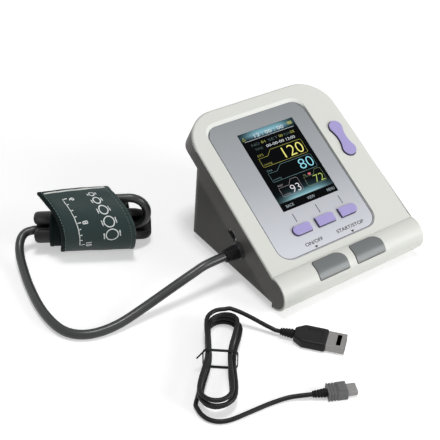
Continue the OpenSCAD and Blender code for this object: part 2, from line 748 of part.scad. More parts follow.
// Point of the button board's underside, y along the board
function under_bar(y) = [
  bar_y + y*cos(button_lean) - bar_board_z*sin(button_lean),
  bar_z + y*sin(button_lean) + bar_board_z*cos(button_lean)
];
module flat_cable() color([0.85, 0.85, 0.88]) {
  top = [under_bar(3), under_bar(6.8), on_face(10, board_low_n), on_face(14, board_low_n)];
  translate([-button_left, 0, 0]) across(10)
    polygon([top[0], top[1], top[2], top[3], top[3] - [0, 0.4], top[2] - [0, 0.4],
             top[1] - [0, 0.4], top[0] - [0, 0.4]]);
}
module buzzer() color([0.12, 0.12, 0.12]) in_face() translate([10, board_low_s + 22, board_low_n - 6])
  difference() {
    cylinder(d = 12, h = 6);
    translate([0, 0, -1]) cylinder(d = 2, h = 3);
  }
module usb_socket() color([0.7, 0.7, 0.72]) in_face()
  translate([-half_w + 0.6, usb_s, usb_n]) difference() {
    translate([0, -usb_w/2, -usb_h/2]) cube([usb_l, usb_w, usb_h]);
    translate([-1, -usb_w/2 + 0.4, -usb_h/2 + 0.4]) cube([7, usb_w - 0.8, usb_h - 0.8]);
  }
module power_jack() color([0.1, 0.1, 0.1]) {
  difference() {
    union() {
      rod_x(in_x - 1, half_w - 0.4, jack_d, jack_y, jack_z);
      box([in_x - 11, jack_y - jack_size/2, jack_z - jack_size/2],
          [in_x, jack_y + jack_size/2, jack_z + jack_size/2]);
    }
    rod_x(in_x - 8, half_w + 1, 5.6, jack_y, jack_z);
  }
  rod_x(in_x - 9, half_w - 1.5, 1.8, jack_y, jack_z);
}

module pump_motor() color([0.72, 0.72, 0.73]) difference() {
  rod_y(motor_y, motor_y + motor_l, motor_d, pump_x, pump_z);
  rod_y(motor_y - 1, motor_y + motor_l - 3, shaft_d + 2*pin_gap, pump_x, pump_z);
}
module pump_head() color([0.2, 0.2, 0.22]) difference() {
  union() {
    rod_y(pump_y, motor_y, pump_d, pump_x, pump_z);
    rod_x(pump_x - pump_d/2 - 1, pump_x, tube_d + 1.5, air_y, air_z);
  }
  rod_y(shaft_y - 1, motor_y + 1, 2*(crank_r + crank_off) + 1.4, pump_x, pump_z);
}
module pump_shaft() color([0.8, 0.8, 0.8]) {
  rod_y(shaft_y, motor_y + motor_l - 4, shaft_d, pump_x, pump_z);
  rod_y(shaft_y + 0.5, shaft_y + 3.5, 2*crank_r, pump_x, pump_z - crank_off);
}
module release_valve() color([0.72, 0.72, 0.73]) difference() {
  union() {
    translate([valve_x, valve_y, floor_z]) cylinder(d = valve_d, h = valve_l);
    rod_y(valve_y - valve_d/2 - 1, valve_y, tube_d + 1.5, valve_x, air_z);
  }
  translate([valve_x, valve_y, valve_top - 7]) cylinder(d = rod_d + 2*pin_gap, h = 8);
}
module valve_plunger() color([0.8, 0.8, 0.8]) translate([valve_x, valve_y, valve_top]) {
  translate([0, 0, -7 + valve_travel + 0.3]) cylinder(d = rod_d, h = spring_h + 7.7 - valve_travel);
  translate([0, 0, spring_h]) cylinder(d = 6.4, h = 1);
}
// Coil spring along Z from 0 to h, flat ends left open
module coil(h, r, wire, turns) {
  m = 12*turns;
  loft([for (i = [0:m]) [for (k = [0:5])
    [(r + wire/2*cos(60*k))*cos(30*i), (r + wire/2*cos(60*k))*sin(30*i),
     wire/2 + (h - wire)*i/m - wire/2*sin(60*k)]]]);
}
module valve_spring() color([0.6, 0.6, 0.62])
  translate([valve_x, valve_y, valve_top]) coil(spring_h, spring_r, spring_wire, 4);

module air_manifold() color([0.85, 0.85, 0.83]) difference() {
  union() {
    box(block_lo, block_hi);
    box(block_lo, [block_hi[0], block_step_y, block_top]);
    for (y = [block_lo[1], block_hi[1] - 3])
      box([block_lo[0], y, floor_z], [block_hi[0], y + 3, block_lo[2] + eps]);
  }
  rod_x(block_lo[0] - 1, block_lo[0] + 5, spigot_d + 2*pin_gap, hose_y, hose_z);
}
module pressure_sensor() color([0.12, 0.12, 0.12]) {
  box([block_lo[0] + 0.5, block_step_y + 1.2, block_hi[2]], [block_hi[0] - 0.5, block_hi[1] - 1, block_hi[2] + 3]);
}
module air_tubes() color([0.9, 0.9, 0.88]) {
  rod_x(block_hi[0], pump_x - pump_d/2 - 1, tube_d, air_y, air_z);
  rod_y(block_hi[1], valve_y - valve_d/2 - 1, tube_d, valve_x, air_z);
}

module battery_tray() color([0.18, 0.18, 0.18]) translate([-bay_left, 0, 0]) difference() {
  box([-tray_w/2, tray_front, floor_z], [tray_w/2, tray_back, tray_top]);
  box([-tray_in/2, tray_front + tray_wall, floor_z + tray_wall], [tray_in/2, back_y, tray_top - tray_wall - 1]);
  box([-tray_in/2, tray_front + tray_wall, floor_z + tray_wall], [tray_in/2, tray_back + 1, tray_top + 1]);
  // Room for the round between the floor and the back wall
  across(tray_w + 2) translate([back_wall_y(floor_z, wall), floor_z]) foot_cut(heel_r - wall + 0.6);
}
module battery_cells() color([0.3, 0.42, 0.55]) translate([-bay_left, 0, 0])
  for (y = cell_y, z = cell_z) {
    rod_x(-cell_l/2, cell_l/2 - 1.2, cell_d, y, z);
    rod_x(cell_l/2 - 1.3, cell_l/2, 5.2, y, z);
  }
module battery_contacts() color([0.78, 0.78, 0.8]) for (side = [-1, 1], y = cell_y)
  translate([side*(tray_in/2 - contact_t/2) - bay_left, y, (cell_z[0] + cell_z[1])/2])
    cube([contact_t, 9, 24], center = true);
module battery_door() color([0.29, 0.29, 0.27]) translate([-bay_left, 0, 0]) on_back() {
  w = door_w - 2*door_gap;
  difference() {
    translate([-w/2, -door_t, door_pivot[1]]) cube([w, door_t, door_h - wall/2 - door_gap]);
    // Finger notch
    translate([0, 6.4, door_up + door_h - 7]) rotate([0, 90, 0]) cylinder(r = 7.2, h = 14, center = true);
  }
  translate([-w/2, door_pivot[0], door_pivot[1]]) rotate([0, 90, 0]) cylinder(r = wall/2, h = w);
  translate([-w/2 - door_pin_l, door_pivot[0], door_pivot[1]]) rotate([0, 90, 0])
    cylinder(d = door_pin_d, h = w + 2*door_pin_l);
}
module rubber_feet() color([0.1, 0.1, 0.1]) {
  for (side = [-1, 1], y = foot_y) translate([side*foot_x, y, 0])
    cylinder(d = foot_d, h = foot_h + foot_sink);
  box([-pad_w/2, -pad_l/2, 0], [pad_w/2, pad_l/2, foot_h + foot_sink]);
}
module housing_screws() color([0.6, 0.6, 0.62]) for (side = [-1, 1]) {
  in_face() translate([side*head_post[0], head_post[1], post_end_n - ledge_t]) {
    translate([0, 0, -screw_head_h]) cylinder(d = screw_head_d, h = screw_head_h);
    cylinder(d = screw_d, h = 7.5);
  }
  translate([side*base_post[0], base_post[1], post_end_z - ledge_t]) {
    translate([0, 0, -screw_head_h]) cylinder(d = screw_head_d, h = screw_head_h);
    cylinder(d = screw_d, h = 7.5);
  }
}

module hose_socket() color([0.16, 0.16, 0.16]) difference() {
  union() {
    rod_x(-half_w - collar_t, -half_w, collar_d, hose_y, hose_z);
    rod_x(-half_w - eps, -half_w + wall + 1.6, collar_d - 2, hose_y, hose_z);
    rod_x(-half_w + wall, block_lo[0] + 4, spigot_d, hose_y, hose_z);
  }
  rod_x(-half_w - collar_t - 1, -half_w + 4, plug_stem_d + 2*pin_gap, hose_y, hose_z);
}
module hose_plug() color([0.2, 0.2, 0.2]) {
  rod_x(-half_w - collar_t - plug_rim_t, -half_w - collar_t, collar_d - 1.6, hose_y, hose_z);
  rod_x(-half_w - collar_t, -half_w + 3.4, plug_stem_d, hose_y, hose_z);
}
boot_x = -half_w - collar_t - plug_rim_t;
module hose_boot() color([0.22, 0.22, 0.22]) {
  rod_x(boot_x - boot_l, boot_x, hose_d + 1.4, hose_y, hose_z);
  for (k = [0:3]) rod_x(boot_x - 1.4 - 2.1*k, boot_x - 2.1*k, 9.6 - 0.35*k, hose_y, hose_z);
}

function unit(v) = v/norm(v);
function path_dirs(p) = [for (i = [0:len(p) - 1]) unit(p[min(i + 1, len(p) - 1)] - p[max(i - 1, 0)])];
function carried(t, n0) = [
  for (i = 0, n = unit(n0 - (n0*t[0])*t[0]); i < len(t);
       i = i + 1, n = i < len(t) ? unit(n - (n*t[i])*t[i]) : n) n
];
function tube_rings(p, r, sides) = let(t = path_dirs(p), n = carried(t, [0, 0, 1]))
  [for (i = [0:len(p) - 1]) let(b = cross(t[i], n[i]))
    [for (k = [0:sides - 1]) p[i] + r*cos(360*k/sides)*n[i] + r*sin(360*k/sides)*b]];
// A solid through rings of points, the last ring at the tip
module loft(rings) {
  m = len(rings[0]);
  last = len(rings) - 1;
  polyhedron(
    points = [for (ring = rings, q = ring) q],
    faces = concat(
      [for (k = [1:m - 2]) [0, k, k + 1]],
      [for (i = [0:last - 1], k = [0:m - 1])
        [i*m + k, (i + 1)*m + k, (i + 1)*m + (k + 1)%m]],
      [for (i = [0:last - 1], k = [0:m - 1])
        [i*m + k, (i + 1)*m + (k + 1)%m, i*m + (k + 1)%m]],
      [for (k = [1:m - 2]) [last*m, last*m + k + 1, last*m + k]]
    )
  );
}
module tube(p, d, sides) loft(tube_rings(p, d/2, sides));
// Points on a smooth curve through the control points c, k pieces to a span
function through(c, k) = let(m = len(c) - 1) concat(
  [for (i = [0:m - 1], j = [0:k - 1]) let(
    f = j/k,
    a = i == 0 ? 2*c[0] - c[1] : c[i - 1],
    b = c[i],
    d = c[i + 1],
    e = i == m - 1 ? 2*c[m] - c[m - 1] : c[i + 2]
  ) 0.5*(2*b + (d - a)*f + (2*a - 5*b + 4*d - e)*f*f + (3*b - a - 3*d + e)*f*f*f)],
  [c[m]]
);
// Point of the room from depth behind the crease
function at(x, depth, z) = [x, crease_y + depth, z];

// The cuff's frame: u along the roll, v across it to the back right
cuff_turn = -30;
cuff_v = 42;
// Middle of the sheet's width at each angle of its roll, from the free edge round the front
cuff_mid = [[60, -167], [87, -163.6], [102, -160.4], [116, -157.2], [129, -154.2], [143, -151.8],
            [160, -149.8], [180, -149.2], [196, -149.8], [232, -151.6], [270, -152.4], [450, -156], [630, -159]];
function roll_at(u, v, z) = at(u*cos(cuff_turn) - v*sin(cuff_turn), u*sin(cuff_turn) + v*cos(cuff_turn), z);
outer_r = cuff_r - cuff_t/2;
outer_z = cuff_r + 0.1;
inner_z = 0.1 + cuff_t + 0.5 + cuff_in_r + cuff_t/2;
bladder_r = cuff_in_r - cuff_t/2 - 0.3;
bladder_z = inner_z - 0.15;
bore_r = bladder_r - bladder_t;
bore_hose_z = bladder_z - bore_r + hose_d/2 + 0.15;
function roll_mix(a) = min(1, max(0, (a - 270)/180));
function roll_r(a) = outer_r + (cuff_in_r - outer_r)*roll_mix(a);
function roll_z(a) = outer_z + (inner_z - outer_z)*roll_mix(a);
// The free edge runs aslant: its left end lies further round the front
function left_turn(a) = a + 26*max(0, 1 - (a - 60)/90);
// Point of the sheet at angle a, w beside its middle line and h over its middle surface
function sheet_at(a, w, h) = let(r = roll_r(a) + h)
  roll_at(lookup(a, cuff_mid) + w, cuff_v + r*cos(a), roll_z(a) + r*sin(a));
// Ring of the rolled sheet, in from its edges by e, between heights h0 and h1
function sheet_ring(a, e, h0, h1) = let(w = cuff_w/2 - e, b = left_turn(a))
  [sheet_at(a, w, h1), sheet_at(b, -w, h1), sheet_at(b, -w, h0), sheet_at(a, w, h0)];
module cuff_sleeve() color([0.18, 0.25, 0.25])
  loft([for (a = [60:15:630]) sheet_ring(a, 0, -cuff_t/2, cuff_t/2)]);
module cuff_hem() color([0.8, 0.82, 0.8])
  loft([for (a = [60:7.5:75]) sheet_ring(a, 0.5, cuff_t/2 + 0.1, cuff_t/2 + 0.6)]);
module hook_patch() color([0.1, 0.12, 0.12])
  loft([for (a = [105:15:135]) sheet_ring(a, 6, -cuff_t/2 - 0.9, -cuff_t/2 - 0.1)]);
bladder_u = [-190.5, -132, -117.2];
bladder_l = bladder_u[2] - bladder_u[0];
// A wedge across the roll between two angles, both turned as the sheet's are
module wedge(from, to) linear_extrude(bladder_l + 2)
  polygon(concat([[0, 0]], [for (a = [from:(to - from)/4:to]) 2.4*bladder_r*[-sin(a), cos(a)]]));
module cuff_bladder() color([0.07, 0.07, 0.07])
  translate(roll_at(bladder_u[0], cuff_v, bladder_z)) rotate([0, 0, cuff_turn]) rotate([0, 90, 0]) difference() {
    cylinder(r = bladder_r, h = bladder_l);
    translate([0, 0, -1]) cylinder(r = bore_r, h = bladder_l + 2);
    // The slot between the two folds faces up and forwards
    translate([0, 0, -1]) wedge(126, 174);
    // At the right end it opens to a trough, whose back stands behind the hose
    translate([0, 0, bladder_u[1] - bladder_u[0]]) wedge(46, 204);
  }
port_d = 6.6;
port_z = outer_z + outer_r - cuff_t/2 - 0.35 - port_d/2;
port_u = -139;
module cuff_port() color([0.12, 0.12, 0.12])
  translate(roll_at(port_u - 11, cuff_v, port_z)) rotate([0, 0, cuff_turn]) rotate([0, 90, 0])
    cylinder(d = port_d, h = 11);

// Middle line of the air hose, from the boot to the port under the flap
loop_r = (port_z - bore_hose_z)/2;
loop_u = -130.4;
hose_route = concat(
  [at(boot_x - boot_l, hose_back, hose_z), at(boot_x - boot_l - 6, hose_back, hose_z)],
  through([
    at(-80, 33.5, 21), at(-92.5, 33.4, 17.6), at(-108.6, 34, 12), at(-122.9, 34.2, 7.4), at(-137, 33.9, 4.2),
    at(-149, 34.8, 3.2), at(-158, 38, 3), at(-164.2, 43.6, 3), at(-167.8, 52, 3), at(-169.2, 65, 3),
    at(-168.4, 80, 3), at(-165.8, 97, 3.2), at(-163, 110, 4.2), at(-160.6, 119.5, 6.2),
    at(-157.8, 126.4, 9), at(-154.2, 130.6, 11.8), at(-149.3, 132.6, 13),
    roll_at(-189, cuff_v, bore_hose_z)
  ], 2),
  [roll_at(-172, cuff_v, bore_hose_z), roll_at(-152, cuff_v, bore_hose_z)],
  [for (a = [-90:15:90]) roll_at(
    loop_u + loop_r*cos(a), cuff_v, (bore_hose_z + port_z)/2 + loop_r*sin(a))],
  [roll_at(port_u + 4, cuff_v, port_z), roll_at(port_u, cuff_v, port_z)]
);
module air_hose() color([0.25, 0.25, 0.26]) tube(hose_route, hose_d, 10);

// The data lead's hank: g along it, w across it, wound in four layers
hank_mid = [-107, -23.1];
hank_turn = 51.4;
hank_out_r = fold_r + 2.65;
layer_step = lead_d + 0.5;
layer_loops = 3.375/4;
waist_in = 2.6;
tie_t = 0.3;
tie_w = 3;
tie_gap = 0.1;
tie_low = 0.05;
tie_r = 1.4;
hank_low = lead_d/2 + tie_low + tie_t + tie_gap;
lead_rest = lead_d/2 + 0.1;
function hank_at(g, w, z) = at(
  hank_mid[0] + g*cos(hank_turn) + w*sin(hank_turn),
  hank_mid[1] + g*sin(hank_turn) - w*cos(hank_turn), z);
// Radius of the fold and height after q loops
function layer_r(q) = let(k = min(3, floor(q/layer_loops + eps)), f = q/layer_loops - k)
  k%2 == 0 ? hank_out_r - (hank_out_r - fold_r)*f : fold_r + (hank_out_r - fold_r)*f;
function layer_z(q) = let(k = min(3, floor(q/layer_loops + eps)), f = max(0, q/layer_loops - k))
  hank_low + layer_step*(k + (k < 3 && f > 0.7 ? (1 - cos(180*(f - 0.7)/0.3))/2 : 0));
function hank_point(q) = let(
  part = floor(4*q + eps)%4,
  f = 4*q - floor(4*q + eps),
  r = layer_r(q),
  g = part == 0 ? hank_run*(2*f - 1)
    : part == 1 ? hank_run + r*sin(180*f)
    : part == 2 ? hank_run*(1 - 2*f)
    : -hank_run - r*sin(180*f),
  w = part == 0 ? -r : part == 1 ? -r*cos(180*f) : part == 2 ? r : r*cos(180*f),
  draw = waist_in*pow(cos(min(90, 90*abs(g)/hank_run)), 2)*sign(w)
) hank_at(g, w - draw, layer_z(q));
hank_path = [for (i = [0:81]) hank_point(i/24)];
hank_gap = min([for (i = [0:81], j = [i + 6:1:81]) norm(hank_path[i] - hank_path[j])]) - lead_d;
echo(hank_gap = hank_gap);
module usb_hank() color([0.07, 0.07, 0.07]) tube(hank_path, lead_d, 6);
module cable_tie() color([0.1, 0.1, 0.1]) {
  w = 2*(hank_out_r - waist_in) + lead_d + 1;
  h = 3*layer_step + lead_d + 2*tie_gap;
  translate(hank_at(-tie_w/2, 0, 0)) rotate([0, 0, hank_turn]) rotate([90, 0, 90]) linear_extrude(tie_w)
    translate([0, tie_low + tie_t + h/2]) difference() {
      round_rect(w + 2*tie_t, h + 2*tie_t, tie_r + tie_t);
      round_rect(w, h, tie_r);
    }
}

// Frames of the two plugs: their axis along X, the lead's end at the origin
plug_a_at = at(-64.8, -21.3, 3.3);
plug_a_turn = -50.5;
mini_at = at(-79.8, -68.5, 3);
mini_turn = -24.5;
module at_plug_a() translate(plug_a_at) rotate([0, 0, plug_a_turn]) children();
module at_mini() translate(mini_at) rotate([0, 0, mini_turn]) children();
function ahead(p, turn, d) = p + [d*cos(turn), d*sin(turn), 0];
lead_a_route = concat(
  [hank_path[81]],
  through([
    hank_path[81] + 0.5*(hank_path[81] - hank_path[80]), at(-79.4, 0.2, 9.9), at(-75.6, -4.8, 8.1),
    at(-71.9, -10.4, 6), at(-68.7, -15.6, 4.3), ahead(plug_a_at, plug_a_turn, -2.5)
  ], 2),
  [plug_a_at]
);
lead_mini_route = concat(
  [hank_path[0]],
  through([
    hank_path[0] + 0.5*(hank_path[0] - hank_path[1]), at(-134.6, -45, lead_rest),
    at(-133.6, -50.8, lead_rest), at(-130, -55.3, lead_rest), at(-124.4, -57.8, lead_rest),
    at(-116.3, -58.8, lead_rest), at(-107, -59.6, lead_rest), at(-98.5, -60.6, lead_rest),
    at(-90, -62.9, 1.9), ahead(mini_at, mini_turn, -3)
  ], 2),
  [mini_at]
);
module usb_lead_a() color([0.07, 0.07, 0.07]) tube(lead_a_route, lead_d, 8);
module usb_lead_mini() color([0.07, 0.07, 0.07]) tube(lead_mini_route, lead_d, 8);
// A ribbed strain relief of length l, from the lead's end to a plug
module boot(l, d0, d1) {
  rotate([0, 90, 0]) cylinder(d = lead_d + 1.2, h = l);
  for (k = [0:3]) translate([l - 1.3 - 2*k, 0, 0]) rotate([0, 90, 0])
    cylinder(d = d1 + (d0 - d1)*k/3, h = 1.3);
}
module usb_a_boot() color([0.08, 0.08, 0.08]) at_plug_a() boot(8, 4.4, 5.6);
module usb_a_plug() color([0.08, 0.08, 0.08]) at_plug_a() translate([8, 0, -3])
  linear_extrude(6) translate([9.5, 0]) round_rect(19, 14, 1.6);
module usb_a_shell() color([0.75, 0.75, 0.77]) at_plug_a() difference() {
  translate([27, -plug_shell_w/2, -2.25]) cube([10.5, plug_shell_w, 4.5]);
  translate([27.2, -plug_shell_w/2 + 0.35, -1.9]) cube([12, plug_shell_w - 0.7, 3.8]);
  for (y = [-3, 3]) translate([32.5, y - 1.1, 0]) cube([2.2, 2.2, 3]);
}
module usb_a_tongue() color([0.9, 0.9, 0.9]) at_plug_a()
  translate([27.2, -plug_shell_w/2 + 0.35, -1.9]) cube([9.8, plug_shell_w - 0.7, 1.9]);
module mini_boot() color([0.08, 0.08, 0.08]) at_mini() boot(8, 4, 5);
module mini_plug() color([0.3, 0.3, 0.31]) at_mini() translate([8, 0, -2.7])
  linear_extrude(5.4) translate([5.3, 0]) round_rect(10.6, 8.4, 1.4);
module mini_shell() color([0.75, 0.75, 0.77]) at_mini() difference() {
  translate([18.6, -mini_shell_w/2, -1.5]) cube([5.4, mini_shell_w, 3]);
  translate([18.8, -mini_shell_w/2 + 0.35, -1.15]) cube([7, mini_shell_w - 0.7, 2.3]);
}

front_cover();
rear_cover();
display_panel();
lcd_window();
lcd_module();
lcd_frame();
key_left();
key_middle();
key_right();
nav_key();
nav_pin();
power_button();
start_button();
main_board();
board_screws();
tact_switches();
button_board();
button_switches();
flat_cable();
buzzer();
usb_socket();
power_jack();
pump_motor();
pump_head();
pump_shaft();
release_valve();
valve_plunger();
valve_spring();
air_manifold();
pressure_sensor();
air_tubes();
battery_tray();
battery_cells();
battery_contacts();
battery_door();
rubber_feet();
housing_screws();
hose_socket();
hose_plug();
hose_boot();
air_hose();
cuff_sleeve();
cuff_hem();
cuff_bladder();
hook_patch();
cuff_port();
usb_hank();
usb_lead_a();
usb_lead_mini();
usb_a_boot();
usb_a_plug();
usb_a_shell();
usb_a_tongue();
mini_boot();
mini_plug();
mini_shell();
cable_tie();
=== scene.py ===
"""Desk blood pressure monitor for animals, with its screen, keys, air hose, rolled cuff and data lead."""
import json
import math
from contextlib import contextmanager

import bmesh
import bpy
from bpy.props import FloatProperty, FloatVectorProperty, PointerProperty
from mathutils import Matrix, Vector

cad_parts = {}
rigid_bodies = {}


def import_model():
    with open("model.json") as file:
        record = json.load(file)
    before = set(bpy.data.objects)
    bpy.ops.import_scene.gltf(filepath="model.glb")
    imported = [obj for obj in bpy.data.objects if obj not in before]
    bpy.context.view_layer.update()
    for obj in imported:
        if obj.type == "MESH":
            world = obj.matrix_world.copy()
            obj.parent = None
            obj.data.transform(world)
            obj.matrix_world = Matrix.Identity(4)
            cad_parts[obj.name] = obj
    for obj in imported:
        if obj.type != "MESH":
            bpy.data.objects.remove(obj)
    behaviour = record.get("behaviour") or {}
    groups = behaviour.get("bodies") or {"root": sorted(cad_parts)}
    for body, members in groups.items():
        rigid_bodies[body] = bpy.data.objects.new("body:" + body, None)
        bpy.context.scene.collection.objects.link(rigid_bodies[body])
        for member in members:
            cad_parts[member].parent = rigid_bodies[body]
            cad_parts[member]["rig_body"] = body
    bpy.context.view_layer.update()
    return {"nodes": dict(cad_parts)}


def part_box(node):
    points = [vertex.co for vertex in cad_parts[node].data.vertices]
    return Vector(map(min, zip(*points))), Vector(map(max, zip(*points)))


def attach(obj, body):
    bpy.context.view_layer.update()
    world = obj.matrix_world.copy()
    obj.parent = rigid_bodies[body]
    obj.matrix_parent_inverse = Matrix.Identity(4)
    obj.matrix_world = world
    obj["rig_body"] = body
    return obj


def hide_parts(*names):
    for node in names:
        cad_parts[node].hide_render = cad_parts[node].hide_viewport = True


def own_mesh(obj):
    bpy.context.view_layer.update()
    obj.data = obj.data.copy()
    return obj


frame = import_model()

bl_info = {
    "name": "Desk Blood Pressure Monitor",
    "version": (1, 0, 0),
    "blender": (4, 5, 0),
    "location": "3D View > Sidebar > Monitor",
    "description": "Builds a desk blood pressure monitor with its hose, rolled cuff and data lead",
    "category": "Object",
}

MM = 0.001

# The face's own frame: X across, Y up the face from the crease, Z out of the face
SLOPE = math.radians(30)
CREASE = Vector((0, -0.0455, 0.0224))
FACE = Matrix.Translation(CREASE) @ Matrix.Rotation(SLOPE, 4, "X")
FACE_OUT = FACE.to_3x3() @ Vector((0, 0, 1))
# Width and length of the face and the radius of its upper corners
FACE_WIDTH, FACE_LENGTH, FACE_CORNER = 0.11, 0.1152, 0.023
# Middle and size of the lit screen, in the face's frame
SCREEN_MID = (-0.0026, 0.0641)
SCREEN_SIZE = (0.0432, 0.0576)
# The panel's place on the face, worked out from its box
PANEL_TOP = -0.0009
PANEL_LOW, PANEL_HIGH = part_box("display_panel")
PANEL_START = (PANEL_LOW.y - CREASE.y + PANEL_TOP * math.sin(SLOPE)) / math.cos(SLOPE)
PANEL_END = (PANEL_HIGH.z - CREASE.z - PANEL_TOP * math.cos(SLOPE)) / math.sin(SLOPE)
PANEL_MID = ((PANEL_LOW.x + PANEL_HIGH.x) / 2, (PANEL_START + PANEL_END) / 2)
PANEL_SIZE = (PANEL_HIGH.x - PANEL_LOW.x, PANEL_END - PANEL_START)
# Radius of the panel's corners, its gap to the cover, and the inset of the dark line on it
PANEL_CORNER, PANEL_GAP, PANEL_LINE = 0.009, 0.00015, 0.0006
# Depth of the head behind the face, and half the width of the edge of the painted light there
HEAD_DEPTH, HEAD_LIGHT_BLUR = 0.0165, 0.003
# Where the cells' steel ends begin
CELL_END = 0.0185
# Height of a capital letter over the size of its type
CAPITAL_SHARE = 0.7


def tone(red, green, blue):
    """Linear colour of a tone written as 0 to 255."""
    def linear(c):
        c /= 255
        return c / 12.92 if c <= 0.04045 else ((c + 0.055) / 1.055) ** 2.4
    return (linear(red), linear(green), linear(blue))


# Settings

def colour(name, text, *rgb):
    """A colour that the user can change."""
    return FloatVectorProperty(name=name, description=text, default=tone(*rgb), size=3,
                               min=0, max=1, subtype="COLOR")


def size(name, text, value):
    """A length that the user can change, in metres."""
    return FloatProperty(name=name, description=text, default=value, min=0, unit="LENGTH")


class MonitorColours(bpy.types.PropertyGroup):
    """Colours of the mouldings, the rubber and the cloth"""
    front: colour("Front cover", "Pale cover with the face and the bar", 219, 220, 214)
    shell: colour("Rear cover", "Dark cover behind the face", 58, 57, 54)
    # The panel's two ends: its lavender and grey tint, with painted reflection making the end at the bar
    # lighter
    panel_low: colour("Panel, lower end", "Silver panel near the bar", 203, 205, 213)
    panel_high: colour("Panel, upper end", "Silver panel near the top", 124, 129, 132)
    soft_key: colour("Soft keys", "Violet keys and rocker", 165, 155, 208)
    bar_button: colour("Bar buttons", "Grey buttons on the bar", 104, 109, 109)
    hose: colour("Air hose", "Grey rubber of the hose", 44, 45, 46)
    lead: colour("Data lead", "Black sheath of the lead", 19, 19, 20)
    cloth: colour("Cuff cloth", "Dark green nylon of the cuff", 25, 43, 42)


class MonitorSizes(bpy.types.PropertyGroup):
    """Small radii and reliefs that the covers and keys are finished with"""
    cover_edge: size("Cover edge", "Radius of the front cover's outer edge", 0.0018)
    recess_edge: size("Recess border", "Width of the pale border over the panel", 0.0024)
    key_edge: size("Key edge", "Radius of the soft keys' upper edge", 0.0005)
    button_edge: size("Button edge", "Radius of the bar buttons' edge", 0.0005)
    print_height: size("Print relief", "Height of printed marks over their surface", 0.00004)
    stitch: size("Stitch", "Length of one stitch of the cuff", 0.0015)


def colours():
    """Colours set in the scene."""
    return bpy.context.scene.monitor_colours


def sizes():
    """Radii and reliefs set in the scene."""
    return bpy.context.scene.monitor_sizes


# Modelling tools

def deselect():
    """Object mode, with nothing selected."""
    if bpy.context.object and bpy.context.object.mode != "OBJECT":
        bpy.ops.object.mode_set(mode="OBJECT")
    bpy.ops.object.select_all(action="DESELECT")


def only(obj):
    """Select one object and make it the active one."""
    deselect()
    obj.hide_set(False)
    obj.select_set(True)
    bpy.context.view_layer.objects.active = obj
    return obj


@contextmanager
def editing(obj, mode="EDGE"):
    """Edit mode on one object, with nothing selected at the start."""
    only(obj)
    bpy.ops.object.mode_set(mode="EDIT")
    bpy.ops.mesh.select_mode(type=mode)
    bpy.ops.mesh.select_all(action="DESELECT")
    yield
    bpy.ops.object.mode_set(mode="OBJECT")


def pick(obj, kind, test):
    """In edit mode, select the edges, faces or vertices that pass the test; returns how many."""
    mesh = bmesh.from_edit_mesh(obj.data)
    found = 0
    for part in getattr(mesh, kind):
        if test(part):
            part.select_set(True)
            found += 1
    bmesh.update_edit_mesh(obj.data)
    return found


def apply(obj):
    """Apply every modifier of the object."""
    only(obj)
    for modifier in list(obj.modifiers):
        bpy.ops.object.modifier_apply(modifier=modifier.name)
    return obj


def settle(obj, place=None):
    """Put the object's turn, size and place in its mesh, after an optional further placing."""
    bpy.context.view_layer.update()
    matrix = (place or Matrix.Identity(4)) @ obj.matrix_world
    obj.data.transform(matrix)
    if matrix.determinant() < 0:
        obj.data.flip_normals()
    obj.matrix_world = Matrix.Identity(4)
    return obj


def outward(obj):
    """Merge doubles and turn all faces outwards."""
    with editing(obj, "FACE"):
        bpy.ops.mesh.select_all(action="SELECT")
        bpy.ops.mesh.remove_doubles(threshold=1e-6)
        bpy.ops.mesh.normals_make_consistent(inside=False)
    return obj


def smooth(obj, angle=35):
    """Shade smoothly up to the angle, with the large faces keeping their own direction."""
    only(obj)
    bpy.ops.object.shade_smooth_by_angle(angle=math.radians(angle))
    weighted = obj.modifiers.new("face_weight", "WEIGHTED_NORMAL")
    weighted.mode = "FACE_AREA"
    weighted.weight = 100
    weighted.keep_sharp = True
    return apply(obj)


def round_off(obj, width, segments, angle):
    """Round the edges that are sharper than the angle."""
    bevel = obj.modifiers.new("round_off", "BEVEL")
    bevel.width = width
    bevel.segments = segments
    bevel.limit_method = "ANGLE"
    bevel.angle_limit = math.radians(angle)
    bevel.miter_outer = "MITER_ARC"
    return apply(obj)


def join(parts, name):
    """Join mesh objects into one."""
    deselect()
    for part in parts:
        part.select_set(True)
    bpy.context.view_layer.objects.active = parts[0]
    if len(parts) > 1:
        bpy.ops.object.join()
    parts[0].name = name
    parts[0].data.name = name
    return parts[0]


def dress(obj, material):
    """Give the whole piece one material."""
    obj.data.materials.clear()
    obj.data.materials.append(material)
    return obj


def mount(obj, name, material, nodes=()):
    """Name a finished piece, give it its finish and let it ride in place of CAD nodes, or on the housing."""
    obj.name = name
    if material:
        dress(obj, material)
    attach(obj, frame["nodes"][nodes[0]]["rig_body"] if nodes else "housing")
    if nodes:
        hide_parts(*nodes)
    return obj


def cad_copy(node):
    """A clean copy of a CAD node's mesh, merged and with its flat faces made whole."""
    source = frame["nodes"][node]
    obj = bpy.data.objects.new(node + "_dressed", source.data.copy())
    bpy.context.scene.collection.objects.link(obj)
    obj.data.materials.clear()
    with editing(obj, "VERT"):
        bpy.ops.mesh.select_all(action="SELECT")
        bpy.ops.mesh.remove_doubles(threshold=2e-6)
        bpy.ops.mesh.dissolve_limited(angle_limit=math.radians(0.4))
    return obj


def rounded_copy(node, width, material, segments, angle, name=None):
    """A CAD node's shape with its sharp edges rounded, standing for that node."""
    obj = cad_copy(node)
    round_off(obj, width, segments, angle)
    smooth(obj, 40)
    return mount(obj, name or node + "_moulding", material, [node])


def finish_nodes(material, *names):
    """Give CAD nodes that keep their shape a better finish."""
    for name in names:
        obj = frame["nodes"][name]
        if not obj.material_slots:
            obj.data.materials.append(material)
        for held in obj.material_slots:
            held.material = material


